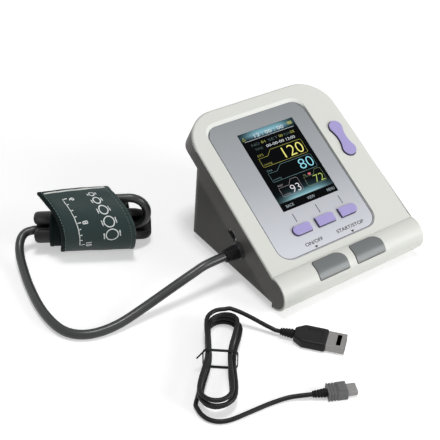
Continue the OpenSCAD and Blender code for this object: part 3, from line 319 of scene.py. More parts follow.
def cube(low, high):
    """A block between two corners."""
    deselect()
    middle = [(a + b) / 2 for a, b in zip(low, high)]
    bpy.ops.mesh.primitive_cube_add(size=1, location=middle)
    obj = bpy.context.object
    obj.scale = [b - a for a, b in zip(low, high)]
    return settle(obj)


def from_points(name, vertices, faces, edges=()):
    """A mesh object made from its points."""
    mesh = bpy.data.meshes.new(name)
    mesh.from_pydata(vertices, edges, faces)
    obj = bpy.data.objects.new(name, mesh)
    bpy.context.scene.collection.objects.link(obj)
    return obj


def ring_faces(spans, count):
    """Faces between rings of points that follow each other, count points to a ring."""
    return [(base + k, base + (k + 1) % count, base + count + (k + 1) % count, base + count + k)
            for base in range(0, spans * count, count) for k in range(count)]


def slice_at(places, axis):
    """In edit mode, cut the mesh across an axis at each place, and leave nothing selected."""
    for place in places:
        bpy.ops.mesh.select_all(action="SELECT")
        bpy.ops.mesh.bisect(plane_co=[place * share for share in axis], plane_no=axis)
    bpy.ops.mesh.select_all(action="DESELECT")


def wire(points, width, closed=False, resolution=3):
    """A round wire along points, made a mesh."""
    curve = bpy.data.curves.new("wire", "CURVE")
    curve.dimensions = "3D"
    curve.bevel_depth = width / 2
    curve.bevel_resolution = resolution
    curve.use_fill_caps = not closed
    spline = curve.splines.new("POLY")
    spline.points.add(len(points) - 1)
    for point, place in zip(spline.points, points):
        point.co = (*place, 1)
    spline.use_cyclic_u = closed
    obj = bpy.data.objects.new("wire", curve)
    bpy.context.scene.collection.objects.link(obj)
    only(obj)
    bpy.ops.object.convert(target="MESH")
    return bpy.context.object


def stroke(points, width, closed=False):
    """A flat printed line in the XY plane, centred on z = 0."""
    obj = wire([(x, y, 0) for x, y in points], width, closed, 1)
    obj.scale = (1, 1, 2 * sizes().print_height / width)
    return settle(obj)


def lettering(text, height, place=(0, 0), bold=0.02):
    """Plain letters or figures in the XY plane, as high as given, made a thin mesh."""
    deselect()
    bpy.ops.object.text_add()
    obj = bpy.context.object
    obj.data.body = text
    obj.data.size = height / CAPITAL_SHARE
    obj.data.align_x = "CENTER"
    obj.data.align_y = "CENTER"
    obj.data.resolution_u = 4
    obj.data.offset = bold * height
    obj.data.extrude = sizes().print_height
    bpy.ops.object.convert(target="MESH")
    obj = bpy.context.object
    obj.location = (*place, 0)
    return settle(obj)


def arc(middle, radius, start, end, steps=8):
    """Points of an arc, angles in degrees."""
    return [(middle[0] + radius * math.cos(math.radians(start + (end - start) * i / steps)),
             middle[1] + radius * math.sin(math.radians(start + (end - start) * i / steps)))
            for i in range(steps + 1)]


def rounded_box(x0, y0, x1, y1, r, steps):
    """Points of a rectangle with round corners."""
    return (arc((x1 - r, y1 - r), r, 0, 90, steps) + arc((x0 + r, y1 - r), r, 90, 180, steps)
            + arc((x0 + r, y0 + r), r, 180, 270, steps) + arc((x1 - r, y0 + r), r, 270, 360, steps))


def rounded_distance(x, y, middle, width, height, r):
    """Distance outside a round-cornered rectangle, below zero inside it."""
    dx = abs(x - middle[0]) - width / 2 + r
    dy = abs(y - middle[1]) - height / 2 + r
    return math.hypot(max(dx, 0), max(dy, 0)) + min(max(dx, dy), 0) - r


# Finishes

def blank(name):
    """A new node material: the material, its tree, its shader and the place on the object."""
    material = bpy.data.materials.new(name)
    material.use_nodes = True
    tree = material.node_tree
    tree.nodes.clear()
    shader = tree.nodes.new("ShaderNodeBsdfPrincipled")
    output = tree.nodes.new("ShaderNodeOutputMaterial")
    tree.links.new(shader.outputs[0], output.inputs[0])
    return material, tree, shader, tree.nodes.new("ShaderNodeTexCoord").outputs["Object"]


def fill(tree, node, **sockets):
    """Give a node's sockets values or other nodes' outputs; _0 stands for its first socket."""
    for key, value in sockets.items():
        socket = node.inputs[int(key[1:])] if key[1:].isdigit() else node.inputs[key.replace("_", " ")]
        if isinstance(value, bpy.types.NodeSocket):
            tree.links.new(value, socket)
        else:
            socket.default_value = value


def add(tree, kind, settings=None, **sockets):
    """A new node with its settings and its sockets."""
    made = tree.nodes.new("ShaderNode" + kind)
    for key, value in (settings or {}).items():
        setattr(made, key, value)
    fill(tree, made, **sockets)
    return made


def math_node(tree, operation, first, second=0.0, clamp=False):
    """One step of arithmetic."""
    return add(tree, "Math", {"operation": operation, "use_clamp": clamp}, _0=first, _1=second).outputs[0]


def blend_colours(tree, factor, first, second, mode="MIX"):
    """Two colours mixed by a factor."""
    made = tree.nodes.new("ShaderNodeMix")
    made.data_type = "RGBA"
    made.blend_type = mode
    for index, value in ((0, factor), (6, first), (7, second)):
        if isinstance(value, bpy.types.NodeSocket):
            tree.links.new(value, made.inputs[index])
        else:
            made.inputs[index].default_value = value if index == 0 else (*value[:3], 1)
    return made.outputs[2]


def scaled(rgb, by):
    """A colour made lighter or darker."""
    return tuple(min(1.0, c * by) for c in rgb[:3])


def spread_over(tree, value, low, high, start=0.0, end=1.0, soft=False):
    """A value between start and end, spread between low and high."""
    settings = {"interpolation_type": "SMOOTHSTEP"} if soft else None
    return add(tree, "MapRange", settings, Value=value, From_Min=start, From_Max=end, To_Min=low,
               To_Max=high).outputs[0]


def noise(tree, place, scale, detail=2.0, **sockets):
    """Cloudy value from 0 to 1."""
    return add(tree, "TexNoise", Vector=place, Scale=scale, Detail=detail, **sockets).outputs[0]


def bump(tree, height, strength, distance):
    """Surface direction that a value raises."""
    return add(tree, "Bump", Strength=strength, Distance=distance, Height=height).outputs[0]


def reach_along(tree, place, direction):
    """Distance of the place along a direction."""
    return add(tree, "VectorMath", {"operation": "DOT_PRODUCT"}, _0=place, _1=direction).outputs["Value"]


def sideways(tree, place):
    """The place's X."""
    return add(tree, "SeparateXYZ", Vector=place).outputs[0]


def laid_flat(tree, place):
    """The place with the face's slope taken out."""
    return add(tree, "Mapping", Vector=place, Rotation=(-SLOPE, 0, 0)).outputs[0]


def moulded(name, rgb, roughness, drift, patch=22, grain=2600, relief=0.00003, specular=0.5, **sockets):
    """Moulded or rubbery surface: a tint that drifts, a fine grain in relief and an uneven gloss."""
    material, tree, shader, place = blank(name)
    cloud = noise(tree, place, patch, 4.0, Roughness=0.55)
    fine = noise(tree, place, grain)
    speck = math_node(tree, "ADD", math_node(tree, "MULTIPLY", cloud, 0.7),
                      math_node(tree, "MULTIPLY", fine, 0.3))
    fill(tree, shader, Base_Color=blend_colours(tree, speck, scaled(rgb, 1 - drift), scaled(rgb, 1 + drift)),
         Roughness=spread_over(tree, cloud, roughness - 0.06, roughness + 0.06),
         Normal=bump(tree, fine, 0.35, relief), Specular_IOR_Level=specular, **sockets)
    return material


def metal(name, rgb, roughness, brushed=(1, 1, 1), scale=900):
    """Plated or drawn metal with fine marks along one way."""
    material, tree, shader, place = blank(name)
    stretched = add(tree, "Mapping", Vector=place, Scale=brushed).outputs[0]
    lines = noise(tree, stretched, scale, 3.0)
    cloud = noise(tree, place, 60.0)
    fill(tree, shader, Base_Color=blend_colours(tree, cloud, scaled(rgb, 0.88), scaled(rgb, 1.08)),
         Roughness=spread_over(tree, lines, roughness - 0.08, roughness + 0.12),
         Normal=bump(tree, lines, 0.2, 0.00002), Metallic=1.0)
    return material


def glow(name, rgb):
    """Lit mark on the screen, dotted as finely as the display's own dots."""
    material, tree, shader, place = blank(name)
    dots = add(tree, "TexVoronoi", {"distance": "CHEBYCHEV"}, Vector=laid_flat(tree, place), Scale=5500.0,
               Randomness=0.0)
    shade = spread_over(tree, dots.outputs["Distance"], 1.0, 0.86)
    fill(tree, shader, Emission_Color=blend_colours(tree, 1.0, rgb, shade, "MULTIPLY"),
         Base_Color=(0.01, 0.01, 0.01, 1), Emission_Strength=1.0, Roughness=0.25)
    return material


def up_face(tree, place, low, high):
    """0 to 1 between two distances up the face."""
    upwards = Vector((0, math.cos(SLOPE), math.sin(SLOPE)))
    start = CREASE.dot(upwards)
    return spread_over(tree, reach_along(tree, place, upwards), 0.0, 1.0, start + low, start + high)


def panel_finish():
    """Silver lacquer, lavender at the bar and grey at the top, with painted reflection that makes it lighter
    near the bar and darker towards the top and the right, and a fine metallic fleck.
    """
    material, tree, shader, place = blank("panel_lacquer")
    # Painted reflection: lighter near the bar, darker towards the top and towards the right side
    rise = up_face(tree, place, PANEL_START, PANEL_END)
    tilt = math_node(tree, "MULTIPLY", sideways(tree, place), 1.2)
    ramp = add(tree, "ValToRGB", Fac=math_node(tree, "ADD", rise, tilt, clamp=True))
    low, high = colours().panel_low, colours().panel_high
    ramp.color_ramp.elements[0].color = (*low, 1)
    ramp.color_ramp.elements[1].color = (*high, 1)
    middle = ramp.color_ramp.elements.new(0.5)
    middle.color = (*[a * 0.32 + b * 0.68 for a, b in zip(low, high)], 1)
    fleck = noise(tree, place, 5200.0, 1.0)
    fill(tree, shader,
         Base_Color=blend_colours(tree, spread_over(tree, fleck, 0.0, 0.10), ramp.outputs[0], (1, 1, 1)),
         Roughness=spread_over(tree, fleck, 0.30, 0.42), Normal=bump(tree, fleck, 0.15, 0.00001),
         Metallic=0.25, Coat_Weight=0.2, Coat_Roughness=0.2)
    return material


def shell_finish():
    """Dark moulding, with painted light that makes the head behind the face lighter than the stand under it.
    """
    material = moulded("dark_moulding", colours().shell, 0.5, 0.05, relief=0.00005, specular=0.25)
    tree = material.node_tree
    base = tree.nodes["Principled BSDF"].inputs["Base Color"]
    depth = reach_along(tree, tree.nodes["Texture Coordinate"].outputs["Object"], FACE_OUT)
    level = CREASE.dot(FACE_OUT) - HEAD_DEPTH
    # Painted light: the head behind the face is made 2.7 times lighter, standing in for the light its side
    # catches
    painted_light_share = spread_over(tree, depth, 0.0, 1.0, level - HEAD_LIGHT_BLUR, level + HEAD_LIGHT_BLUR, soft=True)
    painted_light_gain = (2.7, 2.7, 2.7)
    tree.links.new(blend_colours(tree, painted_light_share, base.links[0].from_socket, painted_light_gain, "MULTIPLY"), base)
    return material


def screen_finish():
    """Dark display glass with a pale glow under the header and over the foot."""
    material, tree, shader, place = blank("display_glass")
    low = SCREEN_MID[1] - SCREEN_SIZE[1] / 2
    ramp = add(tree, "ValToRGB", Fac=up_face(tree, place, low, low + SCREEN_SIZE[1]))
    stops = [(0.0, (0, 0, 0)), (0.094, (0, 0, 0)), (0.098, tone(158, 200, 208)), (0.125, tone(112, 158, 168)),
             (0.18, tone(26, 46, 50)), (0.24, tone(4, 9, 10)), (0.36, (0, 0, 0)), (0.885, (0, 0, 0)),
             (0.91, tone(56, 84, 94)), (0.95, tone(140, 190, 205)), (1.0, tone(96, 138, 150))]
    held = ramp.color_ramp.elements
    held.remove(held[0])
    held[0].position = 0.0
    held[0].color = (*stops[0][1], 1)
    for position, rgb in stops[1:]:
        held.new(position).color = (*rgb, 1)
    off = math_node(tree, "ABSOLUTE", math_node(tree, "SUBTRACT", sideways(tree, place), SCREEN_MID[0]))
    fall = spread_over(tree, off, 1.0, 0.10, 0.006, SCREEN_SIZE[0] / 2, soft=True)
    haze = noise(tree, place, 120.0)
    lit = blend_colours(tree, 1.0, ramp.outputs[0], fall, "MULTIPLY")
    fill(tree, shader,
         Emission_Color=blend_colours(tree, spread_over(tree, haze, 0.0, 0.12), lit, (0, 0, 0)),
         Roughness=spread_over(tree, haze, 0.10, 0.18), Base_Color=(0.002, 0.0025, 0.003, 1),
         Emission_Strength=1.0, Specular_IOR_Level=0.02)
    return material


def woven(name, rgb, thread=0.00042, relief=0.00006, sheen=0.08, roughness=0.6, specular=0.5):
    """Plain weave that follows the piece's UV map, whose unit is a metre."""
    material, tree, shader, place = blank(name)
    across = add(tree, "SeparateXYZ", Vector=place.node.outputs["UV"])
    warp, weft = [math_node(tree, "SINE", math_node(tree, "MULTIPLY", way, math.pi / thread))
                  for way in across.outputs[:2]]
    weave = spread_over(tree, math_node(tree, "MULTIPLY", warp, weft), 0.5, 1.0)
    cloud = noise(tree, place, 55.0, 4.0)
    dark = blend_colours(tree, cloud, scaled(rgb, 0.82), scaled(rgb, 1.2))
    fill(tree, shader,
         Base_Color=blend_colours(tree, spread_over(tree, weave, 0.0, 0.25), dark, scaled(rgb, 1.9)),
         Roughness=spread_over(tree, cloud, roughness - 0.08, roughness + 0.1),
         Normal=bump(tree, weave, 0.5, relief), Sheen_Weight=sheen, Sheen_Roughness=0.4,
         Specular_IOR_Level=specular)
    return material


def board_finish():
    """Green circuit board with traces and pads under the lacquer."""
    material, tree, shader, place = blank("circuit_board")
    flat = laid_flat(tree, place)
    cells = add(tree, "TexBrick", Vector=flat, Scale=160.0, Mortar_Size=0.06,
                Color1=(0.012, 0.10, 0.03, 1), Color2=(0.016, 0.14, 0.045, 1), Mortar=(0.03, 0.26, 0.08, 1))
    cloud = noise(tree, flat, 300.0, 3.0)
    shade = spread_over(tree, cloud, 0.0, 0.3)
    fill(tree, shader, Base_Color=blend_colours(tree, shade, cells.outputs[0], (0.01, 0.07, 0.02)),
         Roughness=spread_over(tree, cloud, 0.3, 0.45))
    return material


def cell_finish():
    """Battery wrap: a blue sleeve with a steel end."""
    material, tree, shader, place = blank("cell_wrap")
    end = math_node(tree, "GREATER_THAN", sideways(tree, place), CELL_END)
    cloud = noise(tree, place, 260.0)
    wrap = blend_colours(tree, cloud, tone(70, 100, 140), tone(84, 118, 158))
    fill(tree, shader, Base_Color=blend_colours(tree, end, wrap, tone(190, 190, 192)), Metallic=end,
         Roughness=spread_over(tree, cloud, 0.25, 0.4))
    return material


FINISHES = {}


def finish(name):
    """The named finish of this object, made when it is first asked for."""
    if name in FINISHES:
        return FINISHES[name]
    c = colours()
    makers = {
        "front": lambda: moulded("pale_moulding", c.front, 0.42, 0.02, specular=0.4),
        # Painted highlight: the recess's border is paler than the cover around it
        "border": lambda: moulded("pale_border", tone(228, 230, 225), 0.36, 0.01, specular=0.45),
        "shell": shell_finish,
        "panel": panel_finish,
        "screen": screen_finish,
        "key": lambda: moulded("violet_rubber", c.soft_key, 0.42, 0.03, Coat_Weight=0.08),
        "key_side_shade": lambda: moulded("violet_skirt", scaled(c.soft_key, 0.3), 0.5, 0.03, specular=0.2),
        "button": lambda: moulded("grey_button", c.bar_button, 0.38, 0.03, Coat_Weight=0.1),
        "ink": lambda: moulded("dark_ink", tone(20, 20, 25), 0.5, 0.1),
        "white_ink": lambda: moulded("white_ink", tone(236, 240, 238), 0.6, 0.05, patch=300),
        "hose": lambda: moulded("hose_rubber", c.hose, 0.3, 0.08, 60, 1800),
        "lead": lambda: moulded("lead_sheath", c.lead, 0.38, 0.1, 80, 2200, specular=0.22),
        "rubber": lambda: moulded("black_rubber", tone(20, 20, 21), 0.5, 0.12, 90, 1500, specular=0.15),
        "plug_black": lambda: moulded("black_moulding", tone(18, 18, 19), 0.4, 0.1, 70, specular=0.2),
        "plug_grey": lambda: moulded("grey_moulding", tone(104, 105, 104), 0.45, 0.08, 70, specular=0.3),
        "black_plastic": lambda: moulded("black_plastic", tone(38, 38, 40), 0.45, 0.1),
        "inner_white": lambda: moulded("ivory_plastic", tone(216, 214, 205), 0.5, 0.04),
        "steel": lambda: metal("plated_steel", tone(196, 197, 200), 0.26),
        "drawn": lambda: metal("drawn_can", tone(184, 185, 188), 0.34, (1, 8, 1)),
        "tin": lambda: metal("bright_shell", tone(138, 136, 135), 0.42, (6, 1, 6), 500),
        "board": board_finish,
        "cell": cell_finish,
        "ribbon": lambda: moulded("ribbon_cable", tone(206, 208, 214), 0.45, 0.08, patch=400),
        "clear_tube": lambda: moulded("milky_tube", tone(222, 222, 216), 0.3, 0.04, Transmission_Weight=0.35),
        "cloth": lambda: woven("green_nylon", c.cloth, specular=0.35),
        # Dark nylon of the binding, also laid as painted shade over the cuff's inner turns
        "binding": lambda: woven("edge_binding", scaled(c.cloth, 0.32), 0.00055, 0.00009, 0.02, 0.7, 0.12),
        "thread": lambda: moulded("green_thread", tone(104, 122, 116), 0.6, 0.15, 900, 6000),
        "pale_thread": lambda: moulded("pale_thread", tone(226, 230, 226), 0.6, 0.12, 900, 6000),
        "hook": lambda: moulded("hook_tape", tone(24, 28, 28), 0.8, 0.3, 1500, 1800, 0.0003),
        "bladder": lambda: moulded("bladder_rubber", tone(22, 22, 23), 0.5, 0.15, 70, 900, 0.00006, 0.3),
    }
    FINISHES[name] = makers[name]()
    return FINISHES[name]


# Stage and camera

def aim(location, back, roll=0.0):
    """Matrix of a camera or lamp at a place, whose back points along the given direction."""
    back = back.normalized()
    right = Vector((0, 0, 1)).cross(back).normalized()
    up = back.cross(right)
    r = math.cos(roll) * right + math.sin(roll) * up
    u = math.cos(roll) * up - math.sin(roll) * right
    return Matrix(((r.x, u.x, back.x, location[0]), (r.y, u.y, back.y, location[1]),
                   (r.z, u.z, back.z, location[2]), (0, 0, 0, 1)))


def lamp(name, location, target, width, power):
    """A square soft lamp."""
    light = bpy.data.lights.new(name, "AREA")
    light.shape = "RECTANGLE"
    light.size = width
    light.size_y = width
    light.energy = power
    obj = bpy.data.objects.new(name, light)
    obj.matrix_world = aim(location, Vector(location) - Vector(target))
    bpy.context.scene.collection.objects.link(obj)
    return obj


def seen_share(tree):
    """1 for rays of the camera, of reflections and of glass, 0 for the rays that light the object."""
    path = tree.nodes.new("ShaderNodeLightPath")
    total = math_node(tree, "ADD", path.outputs["Is Camera Ray"], path.outputs["Is Glossy Ray"])
    return math_node(tree, "ADD", total, path.outputs["Is Transmission Ray"], clamp=True)


def build_stage():
    """Pale floor, white surroundings, soft lamps and the camera."""
    scene = bpy.context.scene
    scene.view_settings.view_transform = "Standard"
    camera = bpy.data.cameras.new("camera")
    camera.sensor_width = 36
    camera.lens = 70.87
    camera.clip_start = 0.01
    eye = bpy.data.objects.new("camera", camera)
    turn, rise = math.radians(-34.51), math.radians(35.83)
    back = Vector((math.sin(turn) * math.cos(rise), -math.cos(turn) * math.cos(rise), math.sin(rise)))
    eye.matrix_world = aim((-0.298146, -0.345083, 0.341676), back, math.radians(0.53))
    scene.collection.objects.link(eye)
    scene.camera = eye

    world = bpy.data.worlds.new("surroundings")
    scene.world = world
    world.use_nodes = True
    tree = world.node_tree
    tree.nodes.clear()
    background = add(tree, "Background", Color=(1, 1, 1, 1),
                     Strength=spread_over(tree, seen_share(tree), 0.20, 1.0))
    output = tree.nodes.new("ShaderNodeOutputWorld")
    tree.links.new(background.outputs[0], output.inputs[0])

    deselect()
    bpy.ops.mesh.primitive_plane_add(size=6, location=(0, 0, -0.0001))
    floor = bpy.context.object
    floor.name = "floor"
    with editing(floor, "FACE"):
        bpy.ops.mesh.select_all(action="SELECT")
        bpy.ops.mesh.subdivide(number_cuts=3)
    settle(floor)
    material, tree, shader, place = blank("pale_floor")
    cloud = noise(tree, place, 3.0)
    fill(tree, shader, Base_Color=blend_colours(tree, cloud, (0.82, 0.82, 0.82), (0.84, 0.84, 0.84)),
         Roughness=0.9, Specular_IOR_Level=0.1)
    # The lamps' light falls off with the distance, so the floor's own glow grows to white
    away = add(tree, "VectorMath", {"operation": "LENGTH"}, _0=place).outputs["Value"]
    own = math_node(tree, "MULTIPLY", seen_share(tree), spread_over(tree, away, 0.46, 1.0, 0.3, soft=True))
    emission = add(tree, "Emission", Color=(1, 1, 1, 1), Strength=own)
    both = add(tree, "AddShader", _0=shader.outputs[0], _1=emission.outputs[0])
    tree.links.new(both.outputs[0], tree.nodes["Material Output"].inputs[0])
    dress(floor, material)

    lamp("top_lamp", (0.0, -0.12, 2.0), (-0.04, 0, 0.03), 0.45, 15.5)
    lamp("key_lamp", (0.80, -1.23, 0.57), (0, 0, 0.03), 0.8, 15.0)


# Air hose

def through(controls, steps):
    """Points of a smooth curve through the controls, some steps to a span."""
    controls = [Vector(c) for c in controls]
    last = len(controls) - 1
    points = []
    for i in range(last):
        a = 2 * controls[0] - controls[1] if i == 0 else controls[i - 1]
        b, d = controls[i], controls[i + 1]
        e = 2 * controls[last] - controls[last - 1] if i == last - 1 else controls[i + 2]
        for j in range(steps):
            f = j / steps
            points.append(0.5 * (2 * b + (d - a) * f + (2 * a - 5 * b + 4 * d - e) * f * f
                                 + (3 * b - a - 3 * d + e) * f ** 3))
    return points + [controls[last]]


def at(x, depth, z):
    """Point in millimetres, its depth taken from the crease."""
    return Vector((x, -45.5 + depth, z))


# Turn of the cuff's own frame, and where the roll's axis lies in it
CUFF_TURN, CUFF_V = math.radians(-30), 42.0


def roll_at(u, v, z):
    """Point of the cuff's own frame, u along its roll and v across it."""
    return at(u * math.cos(CUFF_TURN) - v * math.sin(CUFF_TURN),
              u * math.sin(CUFF_TURN) + v * math.cos(CUFF_TURN), z)


HOSE_D = 5.6
HOSE_START = at(-65.8, 33.5, 21.5)
# Heights of the hose in the roll and at the bladder's port
BORE_Z, PORT_Z = 13.2, 35.05


def hose_route():
    """Middle line of the hose: from its boot along the floor, through the roll and round to the port."""
    loop_r = (PORT_Z - BORE_Z) / 2
    start = [HOSE_START, HOSE_START - Vector((6, 0, 0))]
    run = through([at(-80, 33.5, 21), at(-92.5, 33.4, 17.6), at(-108.6, 34, 12), at(-122.9, 34.2, 7.4),
                   at(-137, 33.9, 4.2), at(-149, 34.8, 3.2), at(-158, 38, 3), at(-164.2, 43.6, 3),
                   at(-167.8, 52, 3), at(-169.2, 65, 3), at(-168.4, 80, 3), at(-165.8, 97, 3.2),
                   at(-163, 110, 4.2), at(-160.6, 119.5, 6.2), at(-157.8, 126.4, 9), at(-154.2, 130.6, 11.8),
                   at(-149.3, 132.6, 13), roll_at(-189, CUFF_V, BORE_Z)], 2)
    inside = [roll_at(-172, CUFF_V, BORE_Z), roll_at(-152, CUFF_V, BORE_Z)]
    loop = [roll_at(-130.4 + loop_r * math.cos(math.radians(a)), CUFF_V,
                    (BORE_Z + PORT_Z) / 2 + loop_r * math.sin(math.radians(a))) for a in range(-90, 91, 15)]
    end = [roll_at(-135, CUFF_V, PORT_Z), roll_at(-139, CUFF_V, PORT_Z)]
    return [p * MM for p in start + run + inside + loop + end]


def sheath(points, diameter, steps, sides, name):
    """A round tube along a smooth curve through the points, with its length down its UV map."""
    line = through(points, steps)
    last = len(line) - 1
    tangents = [(line[min(i + 1, last)] - line[max(i - 1, 0)]).normalized() for i in range(last + 1)]
    normal = tangents[0].orthogonal()
    vertices, lengths, travelled = [], [], 0.0
    for i, (place, tangent) in enumerate(zip(line, tangents)):
        normal = (normal - normal.dot(tangent) * tangent).normalized()
        side = tangent.cross(normal)
        travelled += (line[i] - line[i - 1]).length if i else 0.0
        lengths.append(travelled)
        for k in range(sides):
            turn = 2 * math.pi * k / sides
            vertices.append(place + diameter / 2 * (math.cos(turn) * normal + math.sin(turn) * side))
    faces = ring_faces(last, sides)
    faces += [tuple(range(sides))[::-1], tuple(last * sides + k for k in range(sides))]
    obj = from_points(name, vertices, faces)
    layer = obj.data.uv_layers.new(name="length_map")
    for loop in obj.data.loops:
        ring, k = divmod(loop.vertex_index, sides)
        layer.data[loop.index].uv = (lengths[ring], k / sides * math.pi * diameter)
    outward(obj)
    smooth(obj, 50)
    return obj, line


def build_hose():
    """The air hose as one tube from its boot to the port under the cuff's flap."""
    route = hose_route()
    hose, line = sheath(route, HOSE_D * MM, 3, 24, "air_hose_tube")
    mount(hose, "air_hose_tube", finish("hose"), ["air_hose"])


# Data lead

LEAD_D = 2.5
# The hank: its middle and heading, its loops, layers and half its straight run, and the radii of its bends
HANK_MID, HANK_TURN = (-107.0, -23.1), math.radians(51.4)
HANK_LOOPS, HANK_LAYERS, HANK_RUN = 3.375, 4, 25.4
FOLD_R, OUT_R = 7.5, 10.15
# Height of the lowest strand's middle, in the hank and beside it
HANK_LOW, REST = 1.7, 1.35
# Where the plugs' boots begin, and their headings
LARGE_AT, LARGE_TURN = at(-64.8, -21.3, 3.3), math.radians(-50.5)
SMALL_AT, SMALL_TURN = at(-79.8, -68.5, 3), math.radians(-24.5)


def hank_at(g, w, z):
    """Point of the hank's own frame, g along it and w across it."""
    return at(HANK_MID[0] + g * math.cos(HANK_TURN) + w * math.sin(HANK_TURN),
              HANK_MID[1] + g * math.sin(HANK_TURN) - w * math.cos(HANK_TURN), z)


def hank_point(q):
    """Point of the hank after q loops, wound in four layers."""
    loops = HANK_LOOPS / HANK_LAYERS
    k = min(HANK_LAYERS - 1, int(q / loops + 0.01))
    f = q / loops - k
    r = OUT_R - (OUT_R - FOLD_R) * f if k % 2 == 0 else FOLD_R + (OUT_R - FOLD_R) * f
    f = max(0.0, f)
    rise = (1 - math.cos(math.pi * (f - 0.7) / 0.3)) / 2 if k < HANK_LAYERS - 1 and f > 0.7 else 0
    z = HANK_LOW + (LEAD_D + 0.5) * (k + rise)
    part = int(4 * q + 0.01) % 4
    f = 4 * q - int(4 * q + 0.01)
    g = (HANK_RUN * (2 * f - 1), HANK_RUN + r * math.sin(math.pi * f), HANK_RUN * (1 - 2 * f),
         -HANK_RUN - r * math.sin(math.pi * f))[part]
    w = (-r, -r * math.cos(math.pi * f), r, r * math.cos(math.pi * f))[part]
    draw = 2.6 * math.cos(min(math.pi / 2, math.pi / 2 * abs(g) / HANK_RUN)) ** 2 * (1 if w > 0 else -1)
    return hank_at(g, w - draw, z)


def ahead(place, turn, distance):
    """Point at a distance from a place, along its heading."""
    return place + Vector((distance * math.cos(turn), distance * math.sin(turn), 0))


def lead_routes():
    """The lead in three stretches: to the large plug, the hank, and to the small plug."""
    steps = 24
    hank = [hank_point(i / steps) for i in range(int(HANK_LOOPS * steps) + 1)]
    to_large = [hank[-1]] + through([
        hank[-1] + 0.5 * (hank[-1] - hank[-2]), at(-79.4, 0.2, 9.9), at(-75.6, -4.8, 8.1),
        at(-71.9, -10.4, 6), at(-68.7, -15.6, 4.3), ahead(LARGE_AT, LARGE_TURN, -2.5)], 2) + [LARGE_AT]
    to_small = [hank[0]] + through([
        hank[0] + 0.5 * (hank[0] - hank[1]), at(-134.6, -45, REST), at(-133.6, -50.8, REST),
        at(-130, -55.3, REST), at(-124.4, -57.8, REST), at(-116.3, -58.8, REST), at(-107, -59.6, REST),
        at(-98.5, -60.6, REST), at(-90, -62.9, 1.9), ahead(SMALL_AT, SMALL_TURN, -3)], 2) + [SMALL_AT]
    return to_large, hank, to_small


def build_lead():
    """The data lead as one sheath from plug to plug, with the tie round its hank."""
    to_large, hank, to_small = lead_routes()
    route = [p * MM for p in to_small[::-1] + hank[1:] + to_large[1:]]
    lead, line = sheath(route, LEAD_D * MM, 2, 16, "data_lead_sheath")
    mount(lead, "data_lead_sheath", finish("lead"),
          ["usb_hank", "usb_lead_a", "usb_lead_mini"])
    pieces = build_plugs() + [build_tie()]


def build_tie():
    """A black wire tie: three turns round the waist of the hank and a short twisted tail."""
    half_w, low, high, wire_d = 9.45, 0.35, 12.2, 0.6 * MM
    outline = rounded_box(-half_w, low, half_w, high, 2.3, 8)
    loops = []
    for shift in (-0.6, 0, 0.6):
        points = [hank_at(shift + 0.35 * math.sin(2 * math.pi * i / len(outline)), w, z) * MM
                  for i, (w, z) in enumerate(outline)]
        loops.append(wire(points, wire_d, True))
    for phase in (0.0, math.pi):
        tail = []
        for i in range(25):
            along = 7.0 * i / 24
            spin = phase + i / 24 * 5 * math.pi
            tail.append(hank_at(-0.6 - 0.5 * along + 0.3 * math.cos(spin), -half_w + 0.8 - 0.55 * along,
                                high - 0.1 + 0.35 * math.sin(spin) - 0.35 * along) * MM)
        loops.append(wire(tail, wire_d))
    tie = join(loops, "wire_tie")
    outward(tie)
    smooth(tie, 50)
    return mount(tie, "wire_tie", finish("plug_black"), ["cable_tie"])


def ribbed_boot(place, turn, length, root, tip, name, node, core=LEAD_D):
    """A strain relief: a tapered sleeve spun from its profile, with raised ribs."""
    ribs = 4
    profile = [(0.0, core / 2 + 0.02), (0.3, tip / 2 - 0.15), (0.8, tip / 2)]
    pitch = (length - 1.6) / ribs
    for k in range(ribs):
        r = tip / 2 + (root - tip) / 2 * (k + 0.5) / ribs
        profile += [(0.9 + pitch * (k + share), r - cut) for share, cut in (
            (0, 0.55), (0.2, 0.55), (0.3, 0.08), (0.42, 0), (0.86, 0), (0.98, 0.08))]
    profile += [(length - 0.5, root / 2 - 0.5), (length, root / 2 - 0.4)]
    boot = from_points(name, [(x * MM, 0, r * MM) for x, r in profile], [],
                       [(i, i + 1) for i in range(len(profile) - 1)])
    with editing(boot, "VERT"):
        bpy.ops.mesh.select_all(action="SELECT")
        bpy.ops.mesh.spin(steps=32, angle=2 * math.pi, center=(0, 0, 0), axis=(1, 0, 0))
        bpy.ops.mesh.select_all(action="SELECT")
        bpy.ops.mesh.remove_doubles(threshold=1e-6)
        bpy.ops.mesh.select_all(action="DESELECT")
        bpy.ops.mesh.select_non_manifold()
        bpy.ops.mesh.fill_holes(sides=0)
    outward(boot)
    smooth(boot, 50)
    settle(boot, Matrix.Translation(place * MM) @ Matrix.Rotation(turn, 4, "Z"))
    return mount(boot, name, finish("rubber"), [node])


